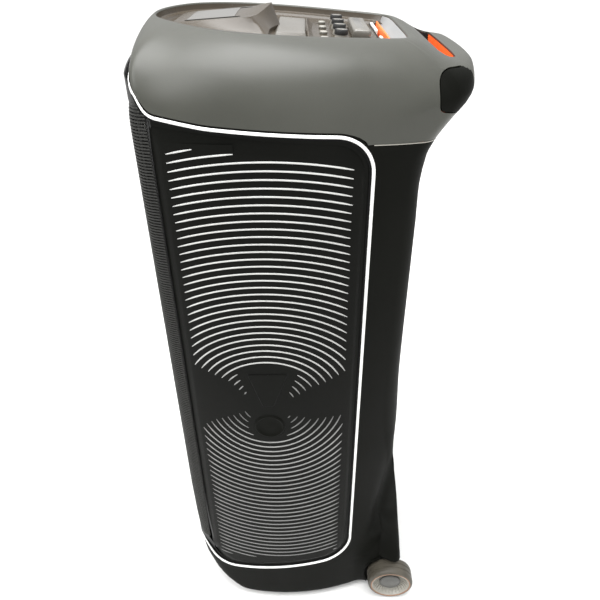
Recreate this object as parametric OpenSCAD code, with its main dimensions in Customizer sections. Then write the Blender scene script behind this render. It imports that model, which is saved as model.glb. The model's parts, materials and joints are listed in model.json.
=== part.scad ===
// Wheeled tower party speaker: hollow cabinet, rolled hood with control deck,
// curved grille, ridged side panels, rear transport wheels.
// Frame: +Z up, front faces -Y, origin on the floor under the middle of the box.

/* [Cabinet] */
// greatest width of the cabinet over the two bowed sides
body_w = 441; // [380:1:480]
// radius of the bow of each side seen from above
side_r = 427; // [300:1:900]
// y of the widest place of the cabinet
side_y = -47; // [-80:1:0]
// y of the front face at the middle
front_y = -218; // [-240:1:-180]
// radius of the bow of the front seen from above
front_r = 826; // [400:1:1500]
// radius of the front corners
front_corner = 26; // [12:1:40]
// y of the flat rear wall
rear_y = 150; // [120:1:180]
// radius of the rear corners
rear_corner = 22; // [10:1:30]
// y of the rearmost line of the handle
handle_y = 219.2; // [200:0.1:240]
// radius of the bow of the handle seen from above
handle_r = 662; // [300:1:1200]
// wall thickness of the cabinet
wall = 9; // [5:0.5:18]
// height of the seam between cabinet and hood
seam_z = 925; // [900:1:950]
// height of the underside of the cabinet above the floor
base_z = 12; // [6:1:20]

/* [Hood] */
// height of the rim plane of the deck at the widest place
rim_z = 1040; // [1000:1:1060]
// fall of the deck toward the rear, degrees
deck_tilt = 5.5; // [0:0.1:10]
// radius of the rolled edge over each side
roll_side = 85; // [40:1:110]
// radius of the rolled edge over the front
roll_front = 28; // [15:1:60]
// radius of the rolled edge over the ends of the handle
roll_handle = 24; // [10:1:40]
// wall thickness of the hood
hood_wall = 5; // [3:0.5:9]

/* [Trim and panels] */
// width of the bright trim line
trim_w = 4.4; // [2:0.1:8]
// depth of the recess that holds grille and side panels
recess = 5; // [3:0.5:8]
// pitch of the concentric ridges
ridge_pitch = 10.65; // [8:0.05:16]
// width of one ridge
ridge_w = 3; // [1:0.1:5]
// height of one ridge
ridge_h = 1.2; // [0.5:0.1:3]
// height of the common middle of the ridges
ridge_z = 534.5; // [480:0.5:600]

/* [Drivers] */
// outer diameter of a woofer frame
woofer_d = 258; // [200:1:300]
// heights of the two woofers
woofer_z = [300, 575];
// outer diameter of a mid driver
mid_d = 122; // [90:1:140]
// height of the mid drivers
mid_z = 778; // [740:1:800]
// height of the tweeters
tweeter_z = 900; // [860:1:930]
// sideways place of mid drivers and tweeters
upper_x = 88; // [70:1:110]

/* [Wheels] */
// diameter of a transport wheel
wheel_d = 86; // [70:1:110]
// width of a transport wheel
wheel_w = 33; // [24:1:40]
// x of the outer face of a wheel
wheel_x = 215; // [200:1:220]
// y and z of the axle
axle = [172, 44.5];

/* [Hidden] */
$fn = 96;
sc = body_w / 2 - side_r;
deck_y0 = side_y;

// points of a polygon whose corners are rounded, each corner [x, y, radius]
function ang(a, b) = atan2(b[1] - a[1], b[0] - a[0]);
function arc_pts(p, a, b, r) =
  let (u = [a[0] - p[0], a[1] - p[1]] / norm([a[0] - p[0], a[1] - p[1]]),
       v = [b[0] - p[0], b[1] - p[1]] / norm([b[0] - p[0], b[1] - p[1]]),
       h = acos(u * v) / 2,
       m = (u + v) / norm(u + v),
       c = [p[0], p[1]] + m * r / sin(h),
       s = [p[0], p[1]] + u * r / tan(h),
       e = [p[0], p[1]] + v * r / tan(h),
       a0 = ang(c, s),
       d0 = ang(c, e) - a0,
       d = d0 > 180 ? d0 - 360 : (d0 < -180 ? d0 + 360 : d0))
  [for (i = [0 : 6]) c + r * [cos(a0 + d * i / 6), sin(a0 + d * i / 6)]];
function round_pts(q) =
  let (n = len(q))
  [for (i = [0 : n - 1])
    each (q[i][2] <= 0 ? [[q[i][0], q[i][1]]]
      : arc_pts(q[i], q[(i + n - 1) % n], q[(i + 1) % n], q[i][2]))];
// offset of a counter-clockwise corner list by t, positive outward
function off_corner(a, p, b, t) =
  let (u = [p[0] - a[0], p[1] - a[1]] / norm([p[0] - a[0], p[1] - a[1]]),
       v = [b[0] - p[0], b[1] - p[1]] / norm([b[0] - p[0], b[1] - p[1]]),
       nu = [u[1], -u[0]],
       nv = [v[1], -v[0]],
       m = (nu + nv) / norm(nu + nv),
       k = t / (m * nu),
       turn = u[0] * v[1] - u[1] * v[0])
  [p[0] + m[0] * k, p[1] + m[1] * k,
   p[2] <= 0 ? 0 : max(1, p[2] + (turn > 0 ? t : -t))];
function off_list(q, t) =
  let (n = len(q))
  [for (i = [0 : n - 1]) off_corner(q[(i + n - 1) % n], q[i], q[(i + 1) % n], t)];

// corners of the area inside the trim line, in y and z
trim_q = [[90, 935, 50], [-171, 966, 20], [-192, 1011, 12], [-250, 1023, 0],
          [-250, 178, 0], [-191, 158, 14], [-158, 90, 44], [90, 121, 58]];
// reversed so that it runs counter-clockwise in y, z
trim_c = [for (i = [len(trim_q) - 1 : -1 : 0]) trim_q[i]];
function is_ccw(q) =
  let (n = len(q))
  let (s = [for (i = [0 : n - 1]) q[i][0] * q[(i + 1) % n][1] - q[(i + 1) % n][0] * q[i][1]])
  (s * [for (i = [0 : n - 1]) 1]) > 0;
trim_p = is_ccw(trim_c) ? trim_c : trim_q;

// crossing of two circles, k = 1 or -1 picks the side
function cross2(c1, r1, c2, r2, k) =
  let (d = norm(c2 - c1),
       a = (r1 * r1 - r2 * r2 + d * d) / (2 * d),
       h = sqrt(r1 * r1 - a * a),
       u = (c2 - c1) / d)
  c1 + u * a + k * h * [-u[1], u[0]];

side_c = [sc, side_y];
front_c = [0, front_y + front_r];
rear_c = [0, handle_y - handle_r];

// wedge that clears a sharp corner beyond the tangent points, s = 1 right, -1 left
module corner_cut(k, c1, c2, r, s) {
  u1 = (k - c1) / norm(k - c1);
  u2 = (k - c2) / norm(k - c2);
  q = [k, k + u1 * r * 2, k + (u1 + u2) * r * 3, k + u2 * r * 2];
  polygon(s > 0 ? q : [for (i = [3 : -1 : 0]) [-q[i][0], q[i][1]]]);
}

// square-ended wedge at a rear corner of the cabinet
module rear_cut(k, s) {
  q = [k, k + [60, 60 * (k[1] - side_y) / (k[0] - sc)], k + [60, 60], k + [0, 60]];
  polygon(s > 0 ? q : [for (i = [3 : -1 : 0]) [-q[i][0], q[i][1]]]);
}

// front corner centre for inset t
function front_k(t) =
  let (r = front_corner - t)
  cross2(side_c, side_r - t - r, front_c, front_r - t - r, -1);
function rear_k(t) =
  let (r = rear_corner - t)
  [sc + sqrt(pow(side_r - t - r, 2) - pow(rear_y - t - r - side_y, 2)), rear_y - t - r];
function handle_k(t) =
  let (r = rear_corner - t)
  cross2(side_c, side_r - t - r, rear_c, handle_r - t - r, 1);

// outline of the cabinet seen from above, inset by t
module plan(t = 0) {
  rf = front_corner - t;
  rr = max(1, rear_corner - t);
  kf = front_k(t);
  kr = rear_k(min(t, rear_corner - 1));
  difference() {
    intersection() {
      translate([sc, side_y]) circle(side_r - t);
      translate([-sc, side_y]) circle(side_r - t);
      translate(front_c) circle(front_r - t);
      translate([-300, -400]) square([600, 400 + rear_y - t]);
    }
    for (s = [1, -1]) {
      corner_cut(kf, side_c, front_c, max(1, rf), s);
      rear_cut(kr, s);
    }
  }
  for (s = [1, -1]) {
    translate([s * kf[0], kf[1]]) circle(max(1, rf));
    translate([s * kr[0], kr[1]]) circle(rr);
  }
}

// outline that runs on to the handle, inset by t
module plan_full(t = 0) {
  rf = front_corner - t;
  rr = max(1, rear_corner - t);
  kf = front_k(t);
  kh = handle_k(min(t, rear_corner - 1));
  difference() {
    intersection() {
      translate([sc, side_y]) circle(side_r - t);
      translate([-sc, side_y]) circle(side_r - t);
      translate(front_c) circle(front_r - t);
      translate(rear_c) circle(handle_r - t);
    }
    for (s = [1, -1]) {
      corner_cut(kf, side_c, front_c, max(1, rf), s);
      corner_cut(kh, side_c, rear_c, rr, s);
    }
  }
  for (s = [1, -1]) {
    translate([s * kf[0], kf[1]]) circle(max(1, rf));
    translate([s * kh[0], kh[1]]) circle(rr);
  }
}

// solid of the y-z outline pts between x0 and x1
module along_x(pts, x0, x1) {
  translate([x0, 0, 0]) rotate([90, 0, 90]) linear_extrude(x1 - x0) polygon(pts);
}

module region(t, x0, x1) {
  along_x(round_pts(off_list(trim_p, t)), x0, x1);
}

// layer of the outer skin between insets a and b
module skin(a, b, z0, z1) {
  translate([0, 0, z0]) linear_extrude(z1 - z0) difference() {
    plan(a);
    plan(b);
  }
}

// frame of the sloping deck, z = 0 on the rim plane
module on_deck() {
  translate([0, deck_y0, rim_z]) rotate([-deck_tilt, 0, 0]) children();
}

// outline of the deck opening in the deck frame, inset by t
function deck_pts(t) = concat(
  [for (i = [0 : 28]) [(143.5 - t) * cos(180 + i * 180 / 28), 5 + (148 - t) * sin(180 + i * 180 / 28)]],
  round_pts([[143.5 - t, 5.5, 0], [113 - t, 184 - t, 24 - t / 2], [-113 + t, 184 - t, 24 - t / 2],
    [-143.5 + t, 5.5, 0]]));

module deck_plan(t = 0) {
  polygon(deck_pts(t));
}

module roll_side_solid(t) {
  r = roll_side - t;
  rr = side_r + 4 - t;
  translate([sc - 4, 0, 0]) rotate_extrude($fn = 96) union() {
    translate([0, -260]) square([rr, 260 - roll_side]);
    translate([0, -roll_side - 1]) square([rr - r, roll_side + 1 - t]);
    intersection() {
      translate([rr - r, -roll_side]) circle(r);
      translate([0, -roll_side - 1]) square([rr + 1, roll_side + 1]);
    }
  }
}

module roll_front_solid(t) {
  r = roll_front - t;
  rr = front_r + 2 - t;
  translate([0, front_c[1] - deck_y0, 0]) rotate_extrude($fn = 96) union() {
    translate([0, -260]) square([rr, 260 - roll_front]);
    translate([0, -roll_front - 1]) square([rr - r, roll_front + 1 - t]);
    intersection() {
      translate([rr - r, -roll_front]) circle(r);
      translate([0, -roll_front - 1]) square([rr + 1, roll_front + 1]);
    }
  }
}

// small rolled edge over the ends of the handle, top at the handle height
module roll_handle_solid(t) {
  r = roll_handle - t;
  rr = side_r + 1 - t;
  translate([sc - 1, side_y, 1012]) rotate_extrude($fn = 96) union() {
    translate([0, -260]) square([rr, 260 - roll_handle]);
    translate([0, -roll_handle - 1]) square([rr - r, roll_handle + 1 - t]);
    intersection() {
      translate([rr - r, -roll_handle]) circle(r);
      translate([0, -roll_handle - 1]) square([rr + 1, roll_handle + 1]);
    }
  }
}

// rear outline of hood and upper cabinet in y and z, inset by t
function rear_q(t) = [[-320, 800, 0], [rear_y - t, 800, 0], [rear_y - t, 858, 40],
  [161 - t, 912, 60], [203 - t * 0.8, 959, 14], [219 - t, 974, 0], [219 - t, 1001 - t, 14], [180, 1006 - t, 30],
  [140, 1024 - t, 30], [-320, 1068 - t, 0]];

module hood_solid(t) {
  intersection() {
    translate([0, 0, 840]) linear_extrude(260) plan_full(t);
    union() {
      on_deck() intersection() {
        roll_side_solid(t);
        mirror([1, 0, 0]) roll_side_solid(t);
        roll_front_solid(t);
      }
      intersection() {
        roll_handle_solid(t);
        mirror([1, 0, 0]) roll_handle_solid(t);
        translate([-260, 128, 820]) cube([520, 120, 300]);
      }
    }
    along_x(round_pts(rear_q(t)), -260, 260);
  }
}

// lower rear fairing over the axle
fair_pts = [[100, 24], [160, 22], [182, 22], [193, 32], [196, 48], [195, 110],
  [186, 180], [175, 250], [163, 320], [154, 385], [149, 450], [100, 450]];

fair_in = [[120, 70], [140, 75], [150, 102], [172, 108], [184, 104], [187, 112],
  [179, 180], [168, 250], [156, 320], [147, 385], [142, 430], [120, 430]];

// the lower front sweeps back above the floor
front_low = [[-260, 150], [-215, 150], [-207, 130], [-192, 100], [-176, 62], [-155, 18],
  [-147, 0], [300, 0], [300, 1000], [-260, 1000]];

module body_solid() {
  intersection() {
    translate([0, 0, base_z]) linear_extrude(seam_z - base_z) plan();
    along_x(front_low, -260, 260);
  }
  intersection() {
    translate([0, 0, 800]) linear_extrude(seam_z - 800) plan_full();
    along_x(round_pts(rear_q(0)), -260, 260);
  }
  intersection() {
    linear_extrude(500) plan_full();
    along_x(fair_pts, -176, 176);
  }
}

module both_x() {
  children();
  mirror([1, 0, 0]) children();
}

module cyl_y(x, z, y0, y1, d) {
  translate([x, y0, z]) rotate([-90, 0, 0]) cylinder(h = y1 - y0, d = d);
}

module cyl_x(y, z, x0, x1, d) {
  translate([x0, y, z]) rotate([0, 90, 0]) cylinder(h = x1 - x0, d = d);
}

// ---------- structure ----------
module cabinet_shell() {
  color("dimgray") difference() {
    body_solid();
    translate([0, 0, base_z + 12]) linear_extrude(seam_z) plan(wall);
    // seat for grille and side panels
    intersection() {
      region(trim_w / 2, -260, 260);
      skin(-8, recess, 0, 1100);
    }
    // front opening closed by the baffle
    translate([-176, -260, 150]) cube([352, 105, seam_z]);
    // rear windows for input plate and port
    translate([-112, 130, 560]) cube([224, 40, 270]);
    cyl_y(0, 500, 120, 170, 96.4);
    along_x(fair_in, -128, 128);
    both_x() cyl_x(axle[0], axle[1], 100, 230, 10.2);
    both_x() cyl_x(axle[0], axle[1], wheel_x - wheel_w - 4, 240, wheel_d + 10);
    front_top_cut();
  }
}

// room for the hood above the trim line
module front_top_cut() {
  difference() {
    translate([-300, -300, 880]) cube([600, 390, 200]);
    region(trim_w / 2 + 0.2, -310, 310);
    translate([-300, 50, 800]) cube([600, 60, seam_z - 800]);
  }
}

module base_moulding() {
  color("dimgray") difference() {
    intersection() {
      translate([0, 0, 4]) linear_extrude(base_z - 4) plan(5);
      translate([-260, -149, 0]) cube([520, 400, 40]);
    }
    intersection() {
      translate([0, 0, 2]) linear_extrude(base_z) plan(20);
      translate([-260, -134, 0]) cube([520, 400, 40]);
    }
  }
}

module hood_shell() {
  color("gray") difference() {
    intersection() {
      hood_solid(0);
      union() {
        translate([-300, 60, seam_z]) cube([600, 300, 300]);
        difference() {
          translate([-300, -300, 880]) cube([600, 362, 300]);
          region(trim_w / 2 + 0.2, -310, 310);
        }
        translate([-300, -300, 990]) cube([600, 400, 200]);
      }
    }
    difference() {
      intersection() {
        hood_solid(hood_wall);
        translate([-300, -300, 850]) cube([600, 470, 400]);
      }
      translate([-300, 162, 940]) cube([600, 60, 120]);
      translate([-300, 60, 850]) cube([600, 200, seam_z + 4 - 850]);
    }
    translate([-165, -150, 850]) cube([330, 285, 90]);
    on_deck() translate([0, 0, -30]) linear_extrude(80) deck_plan(0);
    // grip opening through the overhang
    translate([-108, 171, 880]) cube([216, 29, 200]);
    cover_pocket(0);
    intersection() {
      region(trim_w / 2, -260, 260);
      skin(-8, recess, 880, 1100);
    }
  }
}

module cover_area() {
  both_x() along_x(round_pts([[152, 968, 7], [198, 962, 6], [240, 962, 0], [240, 1006, 0],
    [196, 1006, 10], [156, 1014, 12]]), 128, 230);
}

module cover_pocket(g) {
  intersection() {
    cover_area();
    translate([0, 0, 900]) linear_extrude(200) difference() {
      plan_full(-3);
      plan_full(2.5);
    }
  }
}

module grip_cover(s) {
  color("dimgray") intersection() {
    translate([0, 0, 900]) linear_extrude(200) difference() {
      plan_full(0.4);
      plan_full(2.5);
    }
    along_x(round_pts(off_list([[152, 968, 7], [198, 962, 6], [240, 962, 0],
      [240, 1006, 0], [196, 1006, 10], [156, 1014, 12]], -0.8)), s > 0 ? 129 : -230, s > 0 ? 230 : -129);
    hood_solid(0);
  }
}

module grip_cover_right() {
  grip_cover(1);
}

module grip_cover_left() {
  mirror([1, 0, 0]) grip_cover(1);
}

module grip_liner() {
  color("orange") intersection() {
    difference() {
      translate([-108, 171, 930]) cube([216, 29, 90]);
      translate([-104.5, 174.5, 900]) cube([209, 22, 200]);
    }
    hood_solid(0.6);
  }
}

module trim_loop() {
  color("white") intersection() {
    difference() {
      region(trim_w / 2, -260, 260);
      region(-trim_w / 2, -270, 270);
    }
    skin(-1.2, recess, 80, 1040);
  }
}

module panel_area(t, x0, x1) {
  intersection() {
    region(-9 - trim_w / 2 - t, x0, x1);
    translate([x0, -167 + t, 60]) cube([x1 - x0, 260, 1000]);
  }
}

module ridge_area(x0, x1) {
  along_x([[-155, 130], [-155, 485], [-60, 528], [-60, 541], [-155, 584], [-155, 938], [62, 918],
    [62, 584], [-34, 541], [-34, 528], [62, 485], [62, 140]], x0, x1);
}

module rings(x0, x1) {
  for (k = [0 : 28]) {
    difference() {
      cyl_x(side_y, ridge_z, x0, x1, 2 * (7.77 + k) * ridge_pitch + ridge_w);
      cyl_x(side_y, ridge_z, x0 - 1, x1 + 1, 2 * (7.77 + k) * ridge_pitch - ridge_w);
    }
  }
}

module side_panel(s) {
  x0 = s > 0 ? 120 : -240;
  x1 = s > 0 ? 240 : -120;
  color("dimgray") {
    difference() {
      intersection() {
        panel_area(0, x0, x1);
        skin(0.5, recess, 60, 1000);
      }
      cyl_x(side_y, ridge_z - 44, x0, x1, 42.4);
    }
    intersection() {
      panel_area(9, x0, x1);
      ridge_area(x0, x1);
      skin(0.5 - ridge_h, 1.5, 60, 1000);
      rings(x0, x1);
    }
  }
}

module side_panel_right() {
  side_panel(1);
}

module side_panel_left() {
  mirror([1, 0, 0]) side_panel(1);
}

module emblem(s) {
  color("gray") intersection() {
    cyl_x(side_y, ridge_z - 44, s > 0 ? 120 : -240, s > 0 ? 240 : -120, 42);
    skin(-0.6, recess, 60, 1000);
  }
}

module emblem_right() {
  emblem(1);
}

module emblem_left() {
  mirror([1, 0, 0]) emblem(1);
}

// strip between trim and side panel
module panel_surround() {
  color("dimgray") difference() {
    intersection() {
      region(-trim_w / 2 - 0.1, -250, 250);
      skin(2.4, recess, 60, 1040);
      union() {
        translate([-260, -167, 60]) cube([520, 300, 1000]);
      }
    }
    both_x() panel_area(-0.3, 100, 260);
  }
}

module front_grille() {
  color("dimgray") difference() {
    intersection() {
      region(-trim_w / 2 - 0.1, -250, 250);
      skin(1, 3.4, 60, 1040);
      translate([-260, -260, 60]) cube([520, 92.7, 1000]);
    }
    for (i = [0 : 40]) {
      translate([-165, -250, 195 + i * 19.5]) cube([330, 100, 3.2]);
    }
  }
}

module grille_frame() {
  color("dimgray") difference() {
    intersection() {
      region(-trim_w / 2 - 0.1, -250, 250);
      skin(3.6, recess, 60, 1040);
      translate([-260, -260, 60]) cube([520, 92.7, 1000]);
    }
    region(-14, -260, 260);
  }
}

// ---------- front drivers ----------
module front_baffle() {
  color("black") difference() {
    translate([-175.6, -190, 150.4]) cube([351.2, 16, 798]);
    for (z = woofer_z) {
      cyl_y(0, z, -200, -160, woofer_d - 24);
    }
    both_x() cyl_y(upper_x, mid_z, -200, -160, mid_d - 18);
    both_x() cyl_y(upper_x, tweeter_z, -200, -160, 74);
    translate([-180, -200, 930]) cube([360, 40, 60]);
  }
}

module lathe_y(x, z, y) {
  translate([x, y, z]) rotate([90, 0, 0]) rotate_extrude() children();
}

module woofer_baskets() {
  color("gray") for (z = woofer_z) {
    difference() {
      cyl_y(0, z, -193, -190, woofer_d);
      cyl_y(0, z, -200, -180, woofer_d - 34);
    }
    difference() {
      translate([0, -174, z]) rotate([-90, 0, 0]) cylinder(h = 66, d1 = woofer_d - 26, d2 = 128);
      translate([0, -174.1, z]) rotate([-90, 0, 0]) cylinder(h = 66.2, d1 = woofer_d - 32, d2 = 122);
      for (a = [0 : 60 : 300]) {
        translate([0, -140, z]) rotate([0, a, 0]) translate([30, -18, -26]) cube([120, 46, 52]);
      }
    }
  }
}

module woofer_cones() {
  color("black") for (z = woofer_z) {
    lathe_y(0, z, -172) polygon([[30, -46], [32, -46], [93, 0], [93, 3], [90, 3], [30, -43]]);
    lathe_y(0, z, -172) polygon([[0, -44], [34, -44], [34, -42.4], [24, -36], [0, -32]]);
  }
}

module woofer_surrounds() {
  color("black") for (z = woofer_z) {
    lathe_y(0, z, -172) union() {
      difference() {
        translate([102.5, 4]) circle(9);
        translate([102.5, 4]) circle(6.5);
        translate([80, -20]) square([50, 24]);
      }
      translate([110, 2]) square([3, 3]);
      translate([93.2, 2]) square([1.4, 3]);
    }
  }
}

module woofer_magnets() {
  color("silver") for (z = woofer_z) {
    cyl_y(0, z, -107.8, -92, 136);
    cyl_y(0, z, -92, -70, 156);
    cyl_y(0, z, -70, -62, 136);
  }
}

module mid_drivers() {
  color("gray") both_x() translate([upper_x, 0, mid_z]) {
    difference() {
      translate([0, -193, 0]) rotate([-90, 0, 0]) cylinder(h = 3, d = mid_d);
      translate([0, -194, 0]) rotate([-90, 0, 0]) cylinder(h = 9, d = mid_d - 30);
    }
    translate([0, -190, 0]) rotate([90, 0, 0]) rotate_extrude() polygon([[0, -22],
      [18, -25], [46, -2], [50, -2], [50, -4], [20, -30], [0, -30]]);
    translate([0, -160, 0]) rotate([-90, 0, 0]) cylinder(h = 34, d = 70);
  }
}

module tweeter_horns() {
  color("black") both_x() translate([upper_x, 0, tweeter_z]) {
    rotate([90, 0, 0]) rotate_extrude() polygon([[0, 150], [36, 150], [36, 190], [44, 190],
      [44, 193], [34, 193], [14, 166], [0, 166]]);
    translate([0, -150, 0]) rotate([-90, 0, 0]) cylinder(h = 22, d = 60);
  }
}

module light_rings() {
  color("white") for (z = woofer_z) {
    difference() {
      cyl_y(0, z, -196, -190, woofer_d + 12);
      cyl_y(0, z, -200, -180, woofer_d + 1);
    }
  }
}

// ---------- deck ----------
module deck_tray() {
  color("gray") on_deck() difference() {
    translate([0, 0, -30]) linear_extrude(29.5) deck_plan(0.3);
    translate([0, 0, -14]) linear_extrude(40) deck_plan(5);
    // rear recess behind the control block
    translate([-100, 143, -27]) cube([200, 30, 60]);
    // pockets for the moving keys and knob stems
    for (x = [-66, -22, 22, 66]) {
      translate([x, 103, -27]) cylinder(h = 30, d = 8.8);
      translate([x, 83, -27]) cylinder(h = 30, d = 10.8);
    }
  }
}

module console() {
  color("gray") on_deck() difference() {
    translate([-57, 0, 0]) rotate([90, 0, 90]) linear_extrude(114)
      polygon([[-114, -14], [-112, -6], [-20, 7], [-16, 5.5], [4, -14]]);
    translate([-44, -96, -5.4]) rotate([8.04, 0, 0]) cube([88, 52, 30]);
  }
}

module display_window() {
  color("black") on_deck() translate([-43.6, -95.6, -5.3]) rotate([8.04, 0, 0])
    cube([87.2, 51.2, 1.5]);
}

module pad_plate() {
  color("gray") on_deck() difference() {
    translate([-84, 14, -14]) cube([168, 44, 4]);
    translate([0, 36, 66]) sphere(d = 156);
  }
}

module pad_fin() {
  color("gray") on_deck() translate([-70, 58, -14]) rotate([90, 0, 90]) linear_extrude(140)
    polygon([[0, 0], [8, 0], [3, 10], [0, 10]]);
}

module control_block() {
  color("dimgray") on_deck() difference() {
    translate([-68, 118, -14]) cube([136, 20, 13]);
    translate([-60, 124, -3]) cube([120, 8, 4]);
  }
}

module cradle_pad() {
  color("white") on_deck() translate([-96, 145, -26.9]) cube([192, 6, 16]);
}

module cradle_strip() {
  color("orange") on_deck() translate([-96, 163, -26.9]) cube([192, 4, 20]);
}

module knob(x) {
  color("black") on_deck() translate([x, 103, 0]) {
    difference() {
      union() {
        translate([0, 0, -13.4]) cylinder(h = 12.4, d = 21);
        translate([0, 0, -24]) cylinder(h = 12, d = 8);
      }
      translate([-0.8, 4, -2]) cube([1.6, 8, 3]);
    }
  }
}

module knob_1() {
  knob(-66);
}

module knob_2() {
  knob(-22);
}

module knob_3() {
  knob(22);
}

module knob_4() {
  knob(66);
}

module key(x) {
  color("silver") on_deck() translate([x, 83, 0]) {
    translate([0, 0, -24]) cylinder(h = 13, d = 10);
    translate([0, 0, -12.6]) cylinder(h = 3.6, d = 12);
  }
}

module key_1() {
  key(-66);
}

module key_2() {
  key(-22);
}

module key_3() {
  key(22);
}

module key_4() {
  key(66);
}

// ---------- rear ----------
module input_plate() {
  color("black") difference() {
    translate([-118, 150.1, 556]) cube([236, 3, 280]);
    for (x = [-75, -45]) {
      cyl_y(x, 790, 140, 160, 18.2);
    }
    translate([35, 140, 578]) cube([50, 20, 28]);
  }
}

module jack_sockets() {
  color("silver") for (x = [-75, -45]) {
    difference() {
      cyl_y(x, 790, 128, 154, 18);
      cyl_y(x, 790, 134, 160, 6.6);
    }
  }
}

module mains_inlet() {
  color("black") difference() {
    translate([35.2, 130, 578.2]) cube([49.6, 24, 27.6]);
    translate([41, 138, 582]) cube([38, 30, 20]);
  }
}

module inlet_pins() {
  color("silver") for (x = [53, 67]) {
    translate([x - 1, 138.02, 589]) cube([2, 8, 6]);
  }
}

module heat_sink() {
  color("silver") {
    translate([-60, 153.2, 640]) cube([120, 2, 110]);
    for (i = [0 : 9]) {
      translate([-60 + i * 13, 155, 640]) cube([3, 7, 110]);
    }
  }
}

module port_tube() {
  color("black") {
    difference() {
      cyl_y(0, 500, 20, 151, 96);
      cyl_y(0, 500, 10, 160, 88);
    }
    difference() {
      cyl_y(0, 500, 150.2, 153, 110);
      cyl_y(0, 500, 140, 160, 88);
    }
  }
}

module amp_board() {
  color("green") translate([-100, 118, 600]) cube([200, 3, 220]);
}

module amp_parts() {
  color("black") {
    translate([-80, 121.2, 640]) cube([60, 26, 60]);
    translate([20, 121.2, 700]) cube([50, 22, 50]);
    for (x = [-60, -30, 0, 30]) {
      translate([x, 117.8, 790]) rotate([90, 0, 0]) cylinder(h = 26, d = 18);
    }
  }
}

module power_supply() {
  color("silver") difference() {
    translate([-70, 40, 24.2]) cube([140, 90, 60]);
    translate([-67, 43, 40]) cube([134, 84, 60]);
  }
}

module brace_frame() {
  color("tan") difference() {
    translate([0, 0, 428]) linear_extrude(15) plan(wall + 0.2);
    translate([-120, -140, 420]) cube([240, 230, 40]);
    translate([-300, -300, 420]) cube([600, 126.2, 40]);
  }
}

// ---------- wheels and feet ----------
module tyre(s) {
  color("gray") scale([s, 1, 1]) translate([wheel_x - wheel_w, axle[0], axle[1]]) rotate([0, 90, 0])
    rotate_extrude() polygon(round_pts([[36, 1, 0], [43, 1, 4], [43, wheel_w, 6], [36.4, wheel_w, 0],
      [36.4, wheel_w - 1, 0], [36, wheel_w - 1, 0]]));
}

module hub(s) {
  color("dimgray") scale([s, 1, 1]) translate([wheel_x - wheel_w, axle[0], axle[1]]) rotate([0, 90, 0])
    rotate_extrude() polygon([[5.05, 0], [14, 0], [14, 8], [30, 8], [30, 0], [36, 0],
      [36, wheel_w - 1], [33, wheel_w - 1], [24, 20], [14, 20], [14, 24], [5.05, 24]]);
}

module hub_cap(s) {
  color("gray") scale([s, 1, 1]) translate([wheel_x - wheel_w, axle[0], axle[1]]) rotate([0, 90, 0])
    rotate_extrude() polygon([[0, 24], [20, 24], [20, 26], [17, 27.5], [0, 28.5]]);
}

module tyre_right() {
  tyre(1);
}

module tyre_left() {
  mirror([1, 0, 0]) tyre(1);
}

module hub_right() {
  hub(1);
}

module hub_left() {
  mirror([1, 0, 0]) hub(1);
}

module hub_cap_right() {
  hub_cap(1);
}

module hub_cap_left() {
  mirror([1, 0, 0]) hub_cap(1);
}

module axle_stubs() {
  color("silver") both_x() {
    cyl_x(axle[0], axle[1], 120, wheel_x - wheel_w + 23, 10);
  }
}

module feet() {
  color("black") for (x = [-130, 130]) {
    for (y = [-112, 105]) {
      translate([x, y, 0]) cylinder(h = base_z, d = 34);
    }
  }
}

// ---------- fasteners ----------
module plate_screws() {
  color("silver") for (x = [-106, 106]) {
    for (z = [566, 700, 824]) {
      cyl_y(x, z, 153.1, 155, 8);
    }
  }
}

module driver_screws() {
  color("silver") for (z = woofer_z) {
    for (a = [45 : 90 : 315]) {
      cyl_y(121 * cos(a), z + 121 * sin(a), -195.2, -193.1, 7);
    }
  }
}

cabinet_shell();
base_moulding();
hood_shell();
trim_loop();
front_grille();
grille_frame();
front_baffle();
side_panel_right();
side_panel_left();
panel_surround();
emblem_right();
emblem_left();
grip_cover_right();
grip_cover_left();
grip_liner();
deck_tray();
console();
display_window();
pad_plate();
pad_fin();
control_block();
cradle_pad();
cradle_strip();
knob_1();
knob_2();
knob_3();
knob_4();
key_1();
key_2();
key_3();
key_4();
woofer_baskets();
woofer_cones();
woofer_surrounds();
woofer_magnets();
mid_drivers();
tweeter_horns();
light_rings();
input_plate();
jack_sockets();
mains_inlet();
inlet_pins();
heat_sink();
port_tube();
amp_board();
amp_parts();
power_supply();
brace_frame();
tyre_right();
tyre_left();
hub_right();
hub_left();
hub_cap_right();
hub_cap_left();
axle_stubs();
feet();
plate_screws();
driver_screws();
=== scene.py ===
import json
import math

import bmesh
import bpy
import numpy as np
from mathutils import Matrix, Vector
from mathutils.bvhtree import BVHTree


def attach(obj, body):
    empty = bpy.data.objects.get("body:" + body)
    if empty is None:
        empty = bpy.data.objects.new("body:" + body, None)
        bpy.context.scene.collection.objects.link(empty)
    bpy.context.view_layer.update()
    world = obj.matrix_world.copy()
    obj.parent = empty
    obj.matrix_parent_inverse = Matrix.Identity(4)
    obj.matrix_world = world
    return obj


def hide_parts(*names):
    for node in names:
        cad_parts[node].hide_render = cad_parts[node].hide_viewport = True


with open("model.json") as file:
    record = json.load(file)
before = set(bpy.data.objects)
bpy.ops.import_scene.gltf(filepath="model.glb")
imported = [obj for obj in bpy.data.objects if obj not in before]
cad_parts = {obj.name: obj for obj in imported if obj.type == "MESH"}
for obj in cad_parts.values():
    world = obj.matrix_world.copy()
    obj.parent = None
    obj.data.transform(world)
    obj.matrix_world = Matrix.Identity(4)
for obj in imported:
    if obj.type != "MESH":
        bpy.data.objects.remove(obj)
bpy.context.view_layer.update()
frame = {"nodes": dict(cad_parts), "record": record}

NODES = frame["nodes"]
MM = 0.001

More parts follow.
